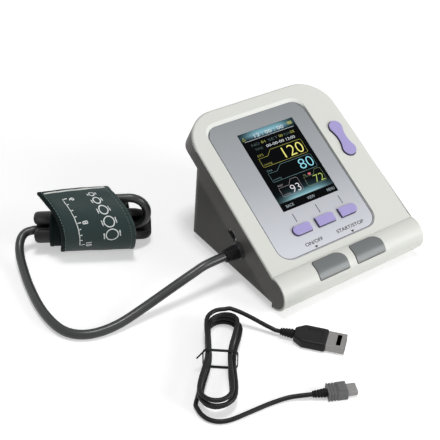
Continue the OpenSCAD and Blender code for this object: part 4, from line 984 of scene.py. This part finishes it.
def build_plugs():
    """Both plugs of the data lead with their boots and metal shells."""
    large = Matrix.Translation(LARGE_AT * MM) @ Matrix.Rotation(LARGE_TURN, 4, "Z")
    small = Matrix.Translation(SMALL_AT * MM) @ Matrix.Rotation(SMALL_TURN, 4, "Z")
    made = [ribbed_boot(LARGE_AT, LARGE_TURN, 8, 5.8, 4.4, "large_plug_boot", "usb_a_boot"),
            ribbed_boot(SMALL_AT, SMALL_TURN, 8, 5.2, 3.9, "small_plug_boot", "mini_boot")]
    # Large plug: a flat body whose shoulders narrow towards the boot, with a thumb panel on top
    rear, shoulder = 0.008, 0.0135
    body = cube((rear, -0.007, -0.003), (0.027, 0.007, 0.003))
    with editing(body, "FACE"):
        slice_at([shoulder], (1, 0, 0))
        pick(body, "verts", lambda v: v.co.x < rear + 0.0005)
        bpy.ops.transform.resize(value=(1, 0.52, 0.86), center_override=(rear, 0, 0))
    round_off(body, 0.0012, 4, 30)
    with editing(body, "FACE"):
        pick(body, "faces", lambda f: f.normal.z > 0.99 and shoulder < f.calc_center_median().x)
        bpy.ops.mesh.inset(thickness=0.0016)
        bpy.ops.mesh.inset(thickness=0.0003, depth=-0.0003)
    smooth(body)
    settle(body, large)
    made.append(mount(body, "large_plug_body", finish("plug_black"), ["usb_a_plug"]))
    # Small plug: ridged rear half and a raised square on top
    ridges = [(0.0088, 0.0096), (0.0104, 0.0112), (0.012, 0.0128)]
    body = cube((rear, -0.0042, -0.0027), (0.0186, 0.0042, 0.0027))
    with editing(body, "FACE"):
        slice_at([x for ridge in ridges for x in ridge], (1, 0, 0))
        pick(body, "faces", lambda f: abs(f.normal.x) < 0.1 and any(
            low < f.calc_center_median().x < high for low, high in ridges))
        bpy.ops.mesh.extrude_region_shrink_fatten(TRANSFORM_OT_shrink_fatten={"value": -0.0004})
    round_off(body, 0.0003, 2, 30)
    raised = cube((0.0136, -0.0026, 0.0024), (0.0180, 0.0026, 0.0031))
    round_off(raised, 0.0005, 3, 30)
    body = join([body, raised], "small_plug_body")
    smooth(body)
    settle(body, small)
    made.append(mount(body, "small_plug_body", finish("plug_grey"), ["mini_plug"]))
    for node, name, width, look, slot in (
            ("usb_a_shell", "large_plug_shell", 0.00018, "tin", "steel"),
            ("mini_shell", "small_plug_shell", 0.00018, "tin", "steel"),
            ("usb_a_tongue", "large_plug_tongue", 0.0002, "inner_white", "inner_white")):
        made.append(rounded_copy(node, width, finish(look), 2, 40, name))
    return made


# Housing

def in_face(place):
    """A point given in the face's own frame."""
    return FACE.inverted() @ place


def build_front():
    """Front cover with its rounded rim and a painted highlight on the bevelled border of the panel's recess.
    """
    cover = cad_copy("front_cover")
    least, near, level = 0.0002, 0.0001, 0.00003

    def recess_distance(x, y):
        """Distance outside the recess's outline."""
        width, height = (side + 2 * PANEL_GAP for side in PANEL_SIZE)
        return rounded_distance(x, y, PANEL_MID, width, height, PANEL_CORNER + PANEL_GAP)

    def rim_distance(x, y):
        """Distance outside the face's outline, whose lower end is open."""
        below = 0.1
        return rounded_distance(x, y, (0, (FACE_LENGTH - below) / 2), FACE_WIDTH, FACE_LENGTH + below,
                                FACE_CORNER)

    def at_rim(edge):
        """True for the edges round the face."""
        return all(abs(p.z) <= level and p.y >= 0.0005 and abs(rim_distance(p.x, p.y)) <= near
                   for p in (in_face(vertex.co) for vertex in edge.verts))

    def outwards(x, y, step=1e-5):
        """Direction straight away from the recess."""
        return Vector((recess_distance(x + step, y) - recess_distance(x - step, y),
                       recess_distance(x, y + step) - recess_distance(x, y - step), 0)).normalized()

    def in_wall(face):
        """True for the faces of the recess's wall."""
        p = in_face(face.calc_center_median())
        return -0.0019 < p.z < -0.00005 and abs(recess_distance(p.x, p.y)) < near

    def on_border(face):
        """True for the faces of the bevelled border that look down the face."""
        p = in_face(face.center)
        tilt = FACE.to_3x3().inverted() @ face.normal
        return (PANEL_TOP < p.z < 0 and least < recess_distance(p.x, p.y) < 0.003
                and tilt.y < -0.1 and tilt.z > 0.5)

    # The recess's wall is cut at the panel's level, and its upper edge moves outwards, most at the top
    with editing(cover, "FACE"):
        if not pick(cover, "faces", in_wall):
            raise RuntimeError("the panel's recess has no wall")
        bpy.ops.mesh.bisect(plane_co=FACE @ Vector((0, 0, PANEL_TOP)), plane_no=FACE_OUT)
    moved = set()
    for vertex in cover.data.vertices:
        p = in_face(vertex.co)
        if abs(p.z) < level and abs(recess_distance(p.x, p.y)) < near:
            away = outwards(p.x, p.y)
            rise = max(0.0, away.y)
            reach = least + (sizes().recess_edge - least) * rise * rise * (3 - 2 * rise)
            vertex.co = FACE @ (p + reach * away)
            moved.add(vertex.index)
    if not moved:
        raise RuntimeError("the panel's recess has no upper edge")
    with editing(cover):
        pick(cover, "edges", lambda edge: edge.verts[0].index in moved and edge.verts[1].index in moved)
        bpy.ops.mesh.mark_sharp()
    with editing(cover):
        if not pick(cover, "edges", at_rim):
            raise RuntimeError("the front cover has no rim to round")
        bpy.ops.mesh.bevel(offset=sizes().cover_edge, segments=4, profile=0.5)
    round_off(cover, 0.0003, 2, 40)
    smooth(cover, 40)
    mount(cover, "front_cover_moulding", finish("front"), ["front_cover"])
    # The border's faces get the painted highlight
    cover.data.materials.append(finish("border"))
    for face in cover.data.polygons:
        face.material_index = int(on_border(face))


def build_rear():
    """Rear cover with the small radii of its openings, and the battery door."""
    rounded_copy("rear_cover", 0.0003, finish("shell"), 2, 40)
    rounded_copy("battery_door", 0.0004, finish("shell"), 2, 40)


def build_panel():
    """Silver panel with its dark edge line, the key marks and the two words over the bar buttons."""
    rounded_copy("display_panel", 0.00015, finish("panel"), 2, 50)
    marks = [stroke([(x * MM, low * MM), (x * MM, high * MM)], 0.00055)
             for x, low, high in ((-19.6, 26.4, 32.2), (-1.6, 26.3, 32.3), (16.5, 26.3, 32.1))]
    for text, left, right in (("ON/OFF", -23.3, -9.9), ("START/STOP", 1.1, 22.5)):
        middle = (left + right) / 2 * MM
        word = lettering(text, 0.0022, (middle, 0.0107))
        word.data.transform(Matrix.Translation((middle, 0, 0))
                            @ Matrix.Diagonal(((right - left) * MM / word.dimensions.x, 1, 1, 1))
                            @ Matrix.Translation((-middle, 0, 0)))
        marks.append(word)
    for x, y in ((-16.9, 7.7), (11.6, 7.6)):
        deselect()
        bpy.ops.mesh.primitive_cylinder_add(vertices=3, radius=0.0014, depth=2 * sizes().print_height,
                                            location=(x * MM, y * MM, 0), rotation=(0, 0, math.pi))
        arrow = bpy.context.object
        arrow.scale = (1, 0.8, 1)
        marks.append(settle(arrow))
    x, y = PANEL_SIZE[0] / 2 - PANEL_LINE, PANEL_SIZE[1] / 2 - PANEL_LINE
    r = PANEL_CORNER - PANEL_LINE
    border = (arc((r - x, y - r), r, 130, 180) + arc((r - x, r - y), r, 180, 270)
              + arc((x - r, r - y), r, 270, 360) + arc((x - r, y - r), r, 0, 50))
    marks.append(stroke([(PANEL_MID[0] + a, PANEL_MID[1] + b) for a, b in border], 0.0004))
    marks = join(marks, "panel_marks")
    settle(marks, FACE @ Matrix.Translation((0, 0, PANEL_TOP)))
    mount(marks, "panel_marks", finish("ink"))


# Screen

def on_screen(u, v):
    """Place on the face of a screen point, u from the left and v from the top, both 0 to 1."""
    return (SCREEN_MID[0] + (u - 0.5) * SCREEN_SIZE[0], SCREEN_MID[1] + (0.5 - v) * SCREEN_SIZE[1])


def stepped_frame(left, right, high, shoulder, low, step0, step1):
    """Outline of a reading's frame, its left part lower than its right part."""
    return [on_screen(*p) for p in (
        (left, shoulder), (step0, shoulder), (step1, high), (right - 0.02, high), (right, high + 0.015),
        (right, low - 0.012), (right - 0.02, low), (left + 0.015, low), (left, low - 0.01))]


def screen_group(name, parts, rgb):
    """Join marks into one lit piece on the screen."""
    obj = join(parts, name)
    settle(obj, FACE @ Matrix.Translation((0, 0, -0.001)))
    return mount(obj, name, glow(name + "_light", tone(*rgb)))


def figures(text, u0, u1, v0, v1, bold=-0.02):
    """Figures or words that fill a part of the screen."""
    low, high = on_screen(u0, v1), on_screen(u1, v0)
    word = lettering(text, high[1] - low[1], bold=bold)
    xs = [v.co.x for v in word.data.vertices]
    ys = [v.co.y for v in word.data.vertices]
    word.data.transform(
        Matrix.Translation((low[0], low[1], 0))
        @ Matrix.Diagonal(((high[0] - low[0]) / (max(xs) - min(xs)),
                           (high[1] - low[1]) / (max(ys) - min(ys)), 1, 1))
        @ Matrix.Translation((-min(xs), -min(ys), 0)))
    return word


def pulse_mark():
    """A small flat heart."""
    deselect()
    bpy.ops.mesh.primitive_circle_add(vertices=24, radius=0.001, fill_type="NGON")
    pulse = bpy.context.object
    middle = on_screen(0.722, 0.702)
    for step, vertex in enumerate(pulse.data.vertices):
        t = 2 * math.pi * step / 24
        x = 16 * math.sin(t) ** 3
        y = 13 * math.cos(t) - 5 * math.cos(2 * t) - 2 * math.cos(3 * t) - math.cos(4 * t)
        vertex.co = (middle[0] + x * 0.00007, middle[1] + y * 0.00007, 0)
    with editing(pulse, "FACE"):
        bpy.ops.mesh.select_all(action="SELECT")
        bpy.ops.mesh.extrude_region_move(TRANSFORM_OT_translate={"value": (0, 0, sizes().print_height)})
    return outward(pulse)


def build_screen():
    """Display window with its lit readings."""
    rounded_copy("lcd_window", 0.00008, finish("screen"), 2, 50)
    thin = 0.00022
    for name, reading, bright, outline, words, dim in (
            ("high", ("120", 0.53, 0.885, 0.302, 0.435), (246, 240, 120),
             (0.11, 0.92, 0.278, 0.342, 0.455, 0.27, 0.365),
             (("SYS", 0.115, 0.215, 0.296, 0.322), ("mmHg", 0.135, 0.275, 0.418, 0.443)), (168, 164, 58)),
            ("low", ("80", 0.655, 0.905, 0.503, 0.625), (140, 220, 236),
             (0.115, 0.925, 0.48, 0.54, 0.652, 0.275, 0.375),
             (("DIA", 0.12, 0.21, 0.498, 0.522), ("mmHg", 0.14, 0.28, 0.617, 0.64)), (84, 124, 128)),
            ("mean", ("93", 0.31, 0.475, 0.748, 0.838), (236, 232, 238),
             (0.135, 0.505, 0.68, 0.738, 0.848, 0.32, 0.385),
             (("MAP", 0.14, 0.23, 0.70, 0.724), ("mmHg", 0.155, 0.27, 0.818, 0.84)), (150, 138, 142)),
            ("beat", ("72", 0.75, 0.92, 0.735, 0.825), (176, 200, 92),
             (0.60, 0.94, 0.67, 0.722, 0.835, 0.785, 0.835),
             (("PR", 0.615, 0.665, 0.69, 0.712),), (110, 126, 84))):
        screen_group("reading_" + name, [figures(*reading)], bright)
        frame_line = stroke(stepped_frame(*outline), thin, True)
        screen_group("frame_" + name, [frame_line] + [figures(*word) for word in words], dim)
    screen_group("pulse_mark", [pulse_mark()], (214, 96, 106))
    screen_group("header_marks", [
        figures("12 : 00 : 00", 0.25, 0.78, 0.045, 0.088, 0.0),
        stroke([on_screen(0.055, 0.107), on_screen(0.945, 0.107)], thin),
        figures("00-00-00", 0.34, 0.66, 0.212, 0.243, 0.0), figures("12:00", 0.70, 0.86, 0.212, 0.245, 0.0)],
        (208, 216, 220))
    screen_group("side_marks", [
        figures("NO", 0.125, 0.26, 0.152, 0.182), figures("SET", 0.42, 0.60, 0.152, 0.182),
        figures("RUN", 0.715, 0.82, 0.152, 0.182), figures("TIME", 0.14, 0.275, 0.216, 0.242)], (58, 84, 82))
    bell = stroke([on_screen(0.035, 0.088), on_screen(0.06, 0.05), on_screen(0.085, 0.088)], 0.0004, True)
    cell = stroke(rounded_box(*on_screen(0.875, 0.066), *on_screen(0.95, 0.036), 0.0002, 2), 0.00026, True)
    bars = [stroke([on_screen(u, 0.06), on_screen(u, 0.042)], 0.0005) for u in (0.89, 0.91, 0.93)]
    screen_group("status_marks", [bell, cell, *bars] + [
        figures(text, left, right, 0.15, 0.18)
        for text, left, right in (("01", 0.30, 0.365), ("00", 0.62, 0.685), ("OK", 0.83, 0.905))],
        (186, 190, 74))
    screen_group("foot_words", [
        figures(text, left, right, 0.938, 0.972, 0.0)
        for text, left, right in (("BACK", 0.085, 0.225), ("VIEW", 0.465, 0.60), ("MENU", 0.83, 0.965))],
        (150, 162, 168))


# Keys and buttons

def build_keys():
    """Three soft keys and the rocker with painted shade on their steep sides, and the two buttons of the bar.
    """
    steep = 0.4
    for node in ("key_left", "key_middle", "key_right", "nav_key"):
        key = rounded_copy(node, sizes().key_edge, finish("key"), 3, 50)
        # Painted shade: the keys' steep sides get a violet darkened to 0.3
        key.data.materials.append(finish("key_side_shade"))
        for face in key.data.polygons:
            face.material_index = int(abs(face.normal.dot(FACE_OUT)) < steep)
    for node in ("power_button", "start_button"):
        rounded_copy(node, sizes().button_edge, finish("button"), 3, 50)


# Hose fittings

def build_fittings():
    """Collar, plug and ribbed boot of the hose."""
    for node, width in (("hose_socket", 0.0003), ("hose_plug", 0.0002)):
        rounded_copy(node, width, finish("black_plastic"), 2, 50)
    ribbed_boot(HOSE_START, 0.0, 9, 9.6, 8.0, "hose_ribbed_boot", "hose_boot", HOSE_D)


# Cuff

# Angle round the roll, from the free edge inwards, and the middle of the sheet along it
CUFF_MID = [(60, -167), (87, -163.6), (102, -160.4), (116, -157.2), (129, -154.2), (143, -151.8),
            (160, -149.8), (180, -149.2), (196, -149.8), (232, -151.6), (270, -152.4), (450, -156),
            (630, -159)]
# Width of the sheet and of its bound edges; radius and axis height of its outer and its inner turn
CUFF_W, BINDING = 46.0, 2.7
OUTER_R, OUTER_Z, IN_R, IN_Z = 19.3, 20.4, 11.5, 15.1
# Radius of the outer turn's outside
SKIN_R = 20.3
# Height of print and tape over the sheet's middle surface, just clear of its outside
PRINT_LIFT = 1.02
# Angles of the sheet's free edge and of its inner end
CUFF_EDGE, CUFF_END = 60, 630


def table_at(table, a):
    """Value of a table of pairs at a, on straight lines between them."""
    if a <= table[0][0]:
        return table[0][1]
    for (a0, b0), (a1, b1) in zip(table, table[1:]):
        if a <= a1:
            return b0 + (b1 - b0) * (a - a0) / (a1 - a0)
    return table[-1][1]


def roll_turn(a):
    """Radius of the sheet's middle surface at angle a, and the height of its axis."""
    mix = min(1.0, max(0.0, (a - 270) / 180))
    return OUTER_R + (IN_R - OUTER_R) * mix, OUTER_Z + (IN_Z - OUTER_Z) * mix


def sheet_at(a, w, h):
    """Point of the rolled sheet at angle a, w beside its middle line and h over its middle surface."""
    r, z = roll_turn(a)
    r += h
    lean = math.radians(a)
    return roll_at(table_at(CUFF_MID, a) + w, CUFF_V + r * math.cos(lean),
                   max(0.03, z + r * math.sin(lean)))


def slant(a, w):
    """The free edge runs aslant: its left end lies further round the front."""
    reach = 26 * max(0.0, 1 - (a - CUFF_EDGE) / 90)
    return a + reach * (0.5 - w / CUFF_W)


def relief(a, w):
    """Soft waves of the outer turn, whose left margin curls inwards in front, in millimetres."""
    waves = 0.10 * math.sin(a * 0.11 + w * 0.21) + 0.07 * math.sin(a * 0.23 - w * 0.4)
    waves *= min(1.0, max(0.0, (330 - a) / 60))
    front = min(1.0, max(0.0, (a - 92) / 25)) * min(1.0, max(0.0, (228 - a) / 25))
    margin = max(0.0, -CUFF_W / 2 + 5 - w) / 5
    return waves - 1.7 * front * margin ** 2


def build_cuff():
    """The rolled sleeve with its dark bound edges, painted shade on its inner turns, seams, pale tape, print
    and hook patch.
    """
    half = CUFF_W / 2
    inner = half - BINDING
    across = [-half, -half + 0.35, -half + 1.4, -inner - 0.3, -inner, -inner + 0.4, -half + 5, -15, -10, -5,
              0, 5, 10, 15, half - 5, inner - 0.4, inner, inner + 0.3, half - 1.4, half - 0.35, half]

    def height(w):
        """Half the sheet's thickness: thicker at the binding, drawn in at the seam, round at the edge."""
        if abs(w) == half:
            return 0.75
        if abs(w) == inner:
            return 0.82
        return 1.2 if abs(w) > inner else 1.0

    top = [(w, height(w)) for w in across]
    ring = top + [(w, -h) for w, h in reversed(top)]
    count = len(ring)
    step = 3
    angles = range(CUFF_EDGE, CUFF_END + 1, step)
    vertices, uvs = [], []
    travelled = 0.0
    for a in angles:
        travelled += math.radians(step) * roll_turn(a)[0] if a > CUFF_EDGE else 0.0
        for w, h in ring:
            b = slant(a, w)
            vertices.append(sheet_at(b, w, h + relief(b, w)) * MM)
            uvs.append((w * MM, travelled * MM))
    spans = len(angles) - 1
    faces = ring_faces(spans, count)
    # Dark nylon on the bound left margin and free edge, partly painted shade, and painted shade over the
    # inner turns past 255 degrees
    binding_and_painted_shade = [(ring[k][0] + ring[(k + 1) % count][0]) / 2 < -inner or i < 2 or angles[i] > 255
             for i in range(spans) for k in range(count)]
    for start in (0, spans * count):
        for k in range(count // 2 - 1):
            quad = (start + k, start + k + 1, start + count - 2 - k, start + count - 1 - k)
            faces.append(quad if start == 0 else quad[::-1])
            binding_and_painted_shade.append(True)
    sleeve = from_points("cuff_sleeve_cloth", vertices, faces)
    layer = sleeve.data.uv_layers.new(name="cloth_map")
    for loop in sleeve.data.loops:
        layer.data[loop.index].uv = uvs[loop.vertex_index]
    sleeve.data.materials.append(finish("cloth"))
    sleeve.data.materials.append(finish("binding"))
    for polygon, dark in zip(sleeve.data.polygons, binding_and_painted_shade):
        polygon.material_index = int(dark)
    outward(sleeve)
    smooth(sleeve, 60)
    mount(sleeve, "cuff_sleeve_cloth", None, ["cuff_sleeve"])
    seams = build_stitches()
    marks = build_print()
    tape = build_tape()
    patch = rounded_copy("hook_patch", 0.0002, finish("hook"), 2, 50)


def build_stitches():
    """Rows of stitches along both side edges, small rounded capsules laid on the sheet one by one."""
    pattern = cube((-0.5, -0.24, -0.12), (0.5, 0.24, 0.12))
    round_off(pattern, 0.09, 1, 30)
    shape = [v.co.copy() for v in pattern.data.vertices]
    polygons = [tuple(p.vertices) for p in pattern.data.polygons]
    bpy.data.objects.remove(pattern)
    vertices, faces = [], []
    length = sizes().stitch / MM
    step = math.degrees(length * 1.25 / SKIN_R)
    for w in (-CUFF_W / 2 + BINDING, CUFF_W / 2 - BINDING):
        a = slant(CUFF_EDGE, w) + 3
        while a < 262:
            base = len(vertices)
            for v in shape:
                da = math.degrees(v.x * length * 0.8 / SKIN_R)
                vertices.append(sheet_at(a + da, w + v.y, 0.95 + v.z + relief(a, w)) * MM)
            faces.extend(tuple(base + k for k in p) for p in polygons)
            a += step
    obj = from_points("cuff_stitches", vertices, faces)
    outward(obj)
    return mount(obj, "cuff_stitches", finish("thread"))


def over_sheet(flat, name, material, nodes=()):
    """Bend flat strokes, x across the sheet and y along it from the free edge, onto the sheet's outside."""
    with editing(flat, "FACE"):
        slice_at([k * 0.0025 for k in range(-24, 24)], (0, 1, 0))
    for vertex in flat.data.vertices:
        w, run, h = (c / MM for c in vertex.co)
        a = slant(CUFF_EDGE, w) + math.degrees(run / SKIN_R)
        vertex.co = sheet_at(a, w, PRINT_LIFT + h + relief(a, w)) * MM
    outward(flat)
    return mount(flat, name, material, nodes)


def build_print():
    """Plain size marks: a scale with figures and five rings that grow."""
    left, middle, foot = -0.0115, 0.0085, 0.010
    parts = [stroke([(left, foot), (left, foot + 0.032)], 0.0006)]
    for k in range(9):
        long = 0.0030 if k % 4 == 0 else 0.0017
        y = foot + 0.004 * k
        parts.append(stroke([(left, y), (left + long, y)], 0.0006))
    for k, text in enumerate(("6", "8", "10")):
        # The figures read along the roll
        place = Matrix.Translation((-0.0058, 0.011 + 0.0155 * k, 0))
        parts.append(settle(lettering(text, 0.0034), place @ Matrix.Rotation(math.radians(90), 4, "Z")))
    y = 0.0085
    for k in range(5):
        r = 0.0016 + 0.00055 * k
        y += r
        parts.append(stroke(arc((middle, y), r, 0, 360, 28)[:-1], 0.00075, True))
        for side in (-1, 1):
            x = middle + side * (r + 0.0012)
            parts.append(stroke([(x, y - r * 0.55), (x, y + r * 0.55)], 0.00075))
        y += r + 0.0016
    return over_sheet(join(parts, "cuff_print"), "cuff_print", finish("white_ink"))


def build_tape():
    """Pale tape under the bound free edge, wider at its right end, with a zigzag seam."""
    left, right = -0.0196, 0.0200
    band = cube((left, 0, 0), (right, 1, 0.00022))
    with editing(band, "FACE"):
        slice_at([k * 0.002 for k in range(-9, 10)], (1, 0, 0))

    def run_at(x, share):
        """Distance from the free edge at x, share of the tape's width."""
        f = (x - left) / (right - left)
        return (2.2 + 0.8 * f + share * (1.2 + 0.6 * f)) * MM

    for vertex in band.data.vertices:
        vertex.co.y = run_at(vertex.co.x, vertex.co.y)
    pitch = 0.0009
    seam = wire([(left + pitch * i, run_at(left + pitch * i, 0.85 if i % 2 else 0.15), 0.00026)
                 for i in range(1, int((right - left) / pitch))], 0.00034, False, 1)
    flat = join([band, seam], "edge_tape")
    return over_sheet(flat, "edge_tape", finish("pale_thread"), ["cuff_hem"])


# Where the bag and its tongue begin along the roll, and the radii and axis height of the bag's section
BLADDER_START, BLADDER_TROUGH = -190.5, -132.0
BLADDER_OUTER, BLADDER_INNER, BLADDER_Z = 10.2, 4.7, 14.95
# Steps round each wall of the bag, and points round each lip
BAG_STEPS, LIP_STEPS = 36, 5


def bag_ring(u, fill_share, low, high):
    """Section of the bag at u: an open C between two angles with rounded lips, thinner by its fill."""
    middle = (BLADDER_OUTER + BLADDER_INNER) / 2
    thick = (BLADDER_OUTER - BLADDER_INNER) / 2 * fill_share
    outline = []

    def lip(angle, side):
        """Add the round end of the C at an angle."""
        for k in range(1, LIP_STEPS + 1):
            cap = math.radians(180 * k / (LIP_STEPS + 1))
            swell = math.degrees(thick * math.sin(cap) * 0.6 / middle)
            outline.append((middle + side * thick * math.cos(cap), angle + side * swell))

    leans = [low + (high - low) * k / BAG_STEPS for k in range(BAG_STEPS + 1)]
    for lean in leans:
        outline.append((middle + thick * (0.97 + 0.03 * math.sin(math.radians(lean) * 3)), lean))
    lip(high, 1)
    outline += [(middle - thick * 0.97, lean) for lean in reversed(leans)]
    lip(low, -1)
    return [roll_at(u, CUFF_V + r * math.cos(math.radians(t)), BLADDER_Z + r * math.sin(math.radians(t))) * MM
            for r, t in outline]


def bag(stations, name):
    """Closed bag through sections given as place, fill and the two angles."""
    loops = [bag_ring(*station) for station in stations]
    count = len(loops[0])
    vertices = [p for loop in loops for p in loop]
    faces = ring_faces(len(loops) - 1, count)
    inside = BAG_STEPS + LIP_STEPS + 1
    for base in (0, (len(loops) - 1) * count):
        for k in range(BAG_STEPS):
            far = base + inside + BAG_STEPS - k
            faces.append((base + k, base + k + 1, far - 1, far))
        for start in (BAG_STEPS, inside + BAG_STEPS):
            faces.append(tuple(base + (start + j) % count for j in range(LIP_STEPS + 2)))
    return smooth(outward(from_points(name, vertices, faces)), 50)


def build_bladder():
    """The air bladder in the roll: a folded bag with a slot in front, and its port."""
    length = BLADDER_TROUGH - BLADDER_START
    low, high = 166, 480
    main_bag = bag([(BLADDER_START + d, share, low + turn, high - turn) for d, share, turn in (
        (0, 0.42, 20), (0.25, 0.64, 14), (0.8, 0.83, 8), (1.8, 0.96, 3), (3.5, 1.0, 0), (9, 1.0, 0),
        (16, 1.0, 0), (30, 1.0, 0), (50, 1.0, 0), (length - 1.5, 1.0, 0))], "bladder_bag")
    tongue = bag([(BLADDER_TROUGH + d, *section) for d, *section in (
        (-1.6, 0.99, 214, 425), (2, 1.0, 215, 420), (5, 1.0, 221, 404), (8, 1.0, 231, 392),
        (10, 0.98, 241, 384), (11.8, 0.94, 251, 376), (13.1, 0.86, 261, 367), (14.1, 0.72, 270, 357),
        (14.6, 0.56, 277, 348), (14.8, 0.4, 283, 340))], "bladder_tongue")
    bladder = join([main_bag, tongue], "bladder_bag")
    mount(bladder, "bladder_bag", finish("bladder"), ["cuff_bladder"])
    rounded_copy("cuff_port", 0.0005, finish("rubber"), 3, 50)


# Inside

def build_spring():
    """The valve's spring in round wire, on a mesh of its own."""
    spring = cad_copy("valve_spring")
    round_wire = spring.modifiers.new("round_wire", "SUBSURF")
    round_wire.levels = round_wire.render_levels = 1
    apply(spring)
    smooth(spring, 60)
    mount(spring, "spring_wire", finish("steel"), ["valve_spring"])
    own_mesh(spring)


def build_inside():
    """Boards, pump, valve, cells and the small parts that keep their CAD shape."""
    finish_nodes(finish("board"), "main_board", "button_board")
    finish_nodes(finish("black_plastic"), "tact_switches", "button_switches", "buzzer", "power_jack",
                 "pump_head", "pressure_sensor", "battery_tray", "lcd_module")
    finish_nodes(finish("inner_white"), "lcd_frame", "air_manifold")
    finish_nodes(finish("steel"), "board_screws", "housing_screws", "nav_pin", "pump_shaft", "valve_plunger",
                 "battery_contacts", "usb_socket")
    finish_nodes(finish("drawn"), "pump_motor", "release_valve")
    finish_nodes(finish("ribbon"), "flat_cable")
    finish_nodes(finish("clear_tube"), "air_tubes")
    finish_nodes(finish("cell"), "battery_cells")
    rounded_copy("rubber_feet", 0.0003, finish("rubber"), 2, 50)
    build_spring()


# Operators and panel

class MONITOR_OT_stage(bpy.types.Operator):
    """Add the floor, the lamps and the camera"""
    bl_idname = "monitor.stage"
    bl_label = "Stage and Camera"

    def execute(self, context):
        build_stage()
        return {"FINISHED"}


class MONITOR_OT_air_hose(bpy.types.Operator):
    """Add the air hose"""
    bl_idname = "monitor.air_hose"
    bl_label = "Air Hose"

    def execute(self, context):
        build_hose()
        return {"FINISHED"}


class MONITOR_OT_data_lead(bpy.types.Operator):
    """Add the data lead with its plugs and tie"""
    bl_idname = "monitor.data_lead"
    bl_label = "Data Lead"

    def execute(self, context):
        build_lead()
        return {"FINISHED"}


class MONITOR_OT_front_cover(bpy.types.Operator):
    """Dress the front cover"""
    bl_idname = "monitor.front_cover"
    bl_label = "Front Cover"

    def execute(self, context):
        build_front()
        return {"FINISHED"}


class MONITOR_OT_rear_cover(bpy.types.Operator):
    """Dress the rear cover and the battery door"""
    bl_idname = "monitor.rear_cover"
    bl_label = "Rear Cover"

    def execute(self, context):
        build_rear()
        return {"FINISHED"}


class MONITOR_OT_panel(bpy.types.Operator):
    """Dress the silver panel and its marks"""
    bl_idname = "monitor.panel"
    bl_label = "Panel"

    def execute(self, context):
        build_panel()
        return {"FINISHED"}


class MONITOR_OT_screen(bpy.types.Operator):
    """Dress the display window and its readings"""
    bl_idname = "monitor.screen"
    bl_label = "Screen"

    def execute(self, context):
        build_screen()
        return {"FINISHED"}


class MONITOR_OT_keys(bpy.types.Operator):
    """Dress the keys, the rocker and the buttons"""
    bl_idname = "monitor.keys"
    bl_label = "Keys and Buttons"

    def execute(self, context):
        build_keys()
        return {"FINISHED"}


class MONITOR_OT_fittings(bpy.types.Operator):
    """Dress the hose's collar, plug and boot"""
    bl_idname = "monitor.fittings"
    bl_label = "Hose Fittings"

    def execute(self, context):
        build_fittings()
        return {"FINISHED"}


class MONITOR_OT_cuff(bpy.types.Operator):
    """Add the rolled cuff with its seams and print"""
    bl_idname = "monitor.cuff"
    bl_label = "Cuff"

    def execute(self, context):
        build_cuff()
        return {"FINISHED"}


class MONITOR_OT_bladder(bpy.types.Operator):
    """Add the air bladder and its port"""
    bl_idname = "monitor.bladder"
    bl_label = "Bladder"

    def execute(self, context):
        build_bladder()
        return {"FINISHED"}


class MONITOR_OT_inside(bpy.types.Operator):
    """Finish the parts inside the housing"""
    bl_idname = "monitor.inside"
    bl_label = "Inner Parts"

    def execute(self, context):
        build_inside()
        return {"FINISHED"}


OPERATORS = [MONITOR_OT_stage, MONITOR_OT_air_hose, MONITOR_OT_data_lead, MONITOR_OT_front_cover,
             MONITOR_OT_rear_cover, MONITOR_OT_panel, MONITOR_OT_screen, MONITOR_OT_keys,
             MONITOR_OT_fittings, MONITOR_OT_cuff, MONITOR_OT_bladder, MONITOR_OT_inside]


class MONITOR_PT_parts(bpy.types.Panel):
    """Building steps of the monitor"""
    bl_label = "Blood Pressure Monitor"
    bl_idname = "MONITOR_PT_parts"
    bl_space_type = "VIEW_3D"
    bl_region_type = "UI"
    bl_category = "Monitor"

    def draw(self, context):
        for made in OPERATORS:
            self.layout.operator(made.bl_idname)


CLASSES = [MonitorColours, MonitorSizes, *OPERATORS, MONITOR_PT_parts]


def register():
    for made in CLASSES:
        bpy.utils.register_class(made)
    bpy.types.Scene.monitor_colours = PointerProperty(type=MonitorColours)
    bpy.types.Scene.monitor_sizes = PointerProperty(type=MonitorSizes)


def unregister():
    del bpy.types.Scene.monitor_sizes
    del bpy.types.Scene.monitor_colours
    for made in reversed(CLASSES):
        bpy.utils.unregister_class(made)


def main():
    register()
    for made in OPERATORS:
        family, step = made.bl_idname.split(".")
        getattr(getattr(bpy.ops, family), step)()
    deselect()


if __name__ == "__main__":
    main()
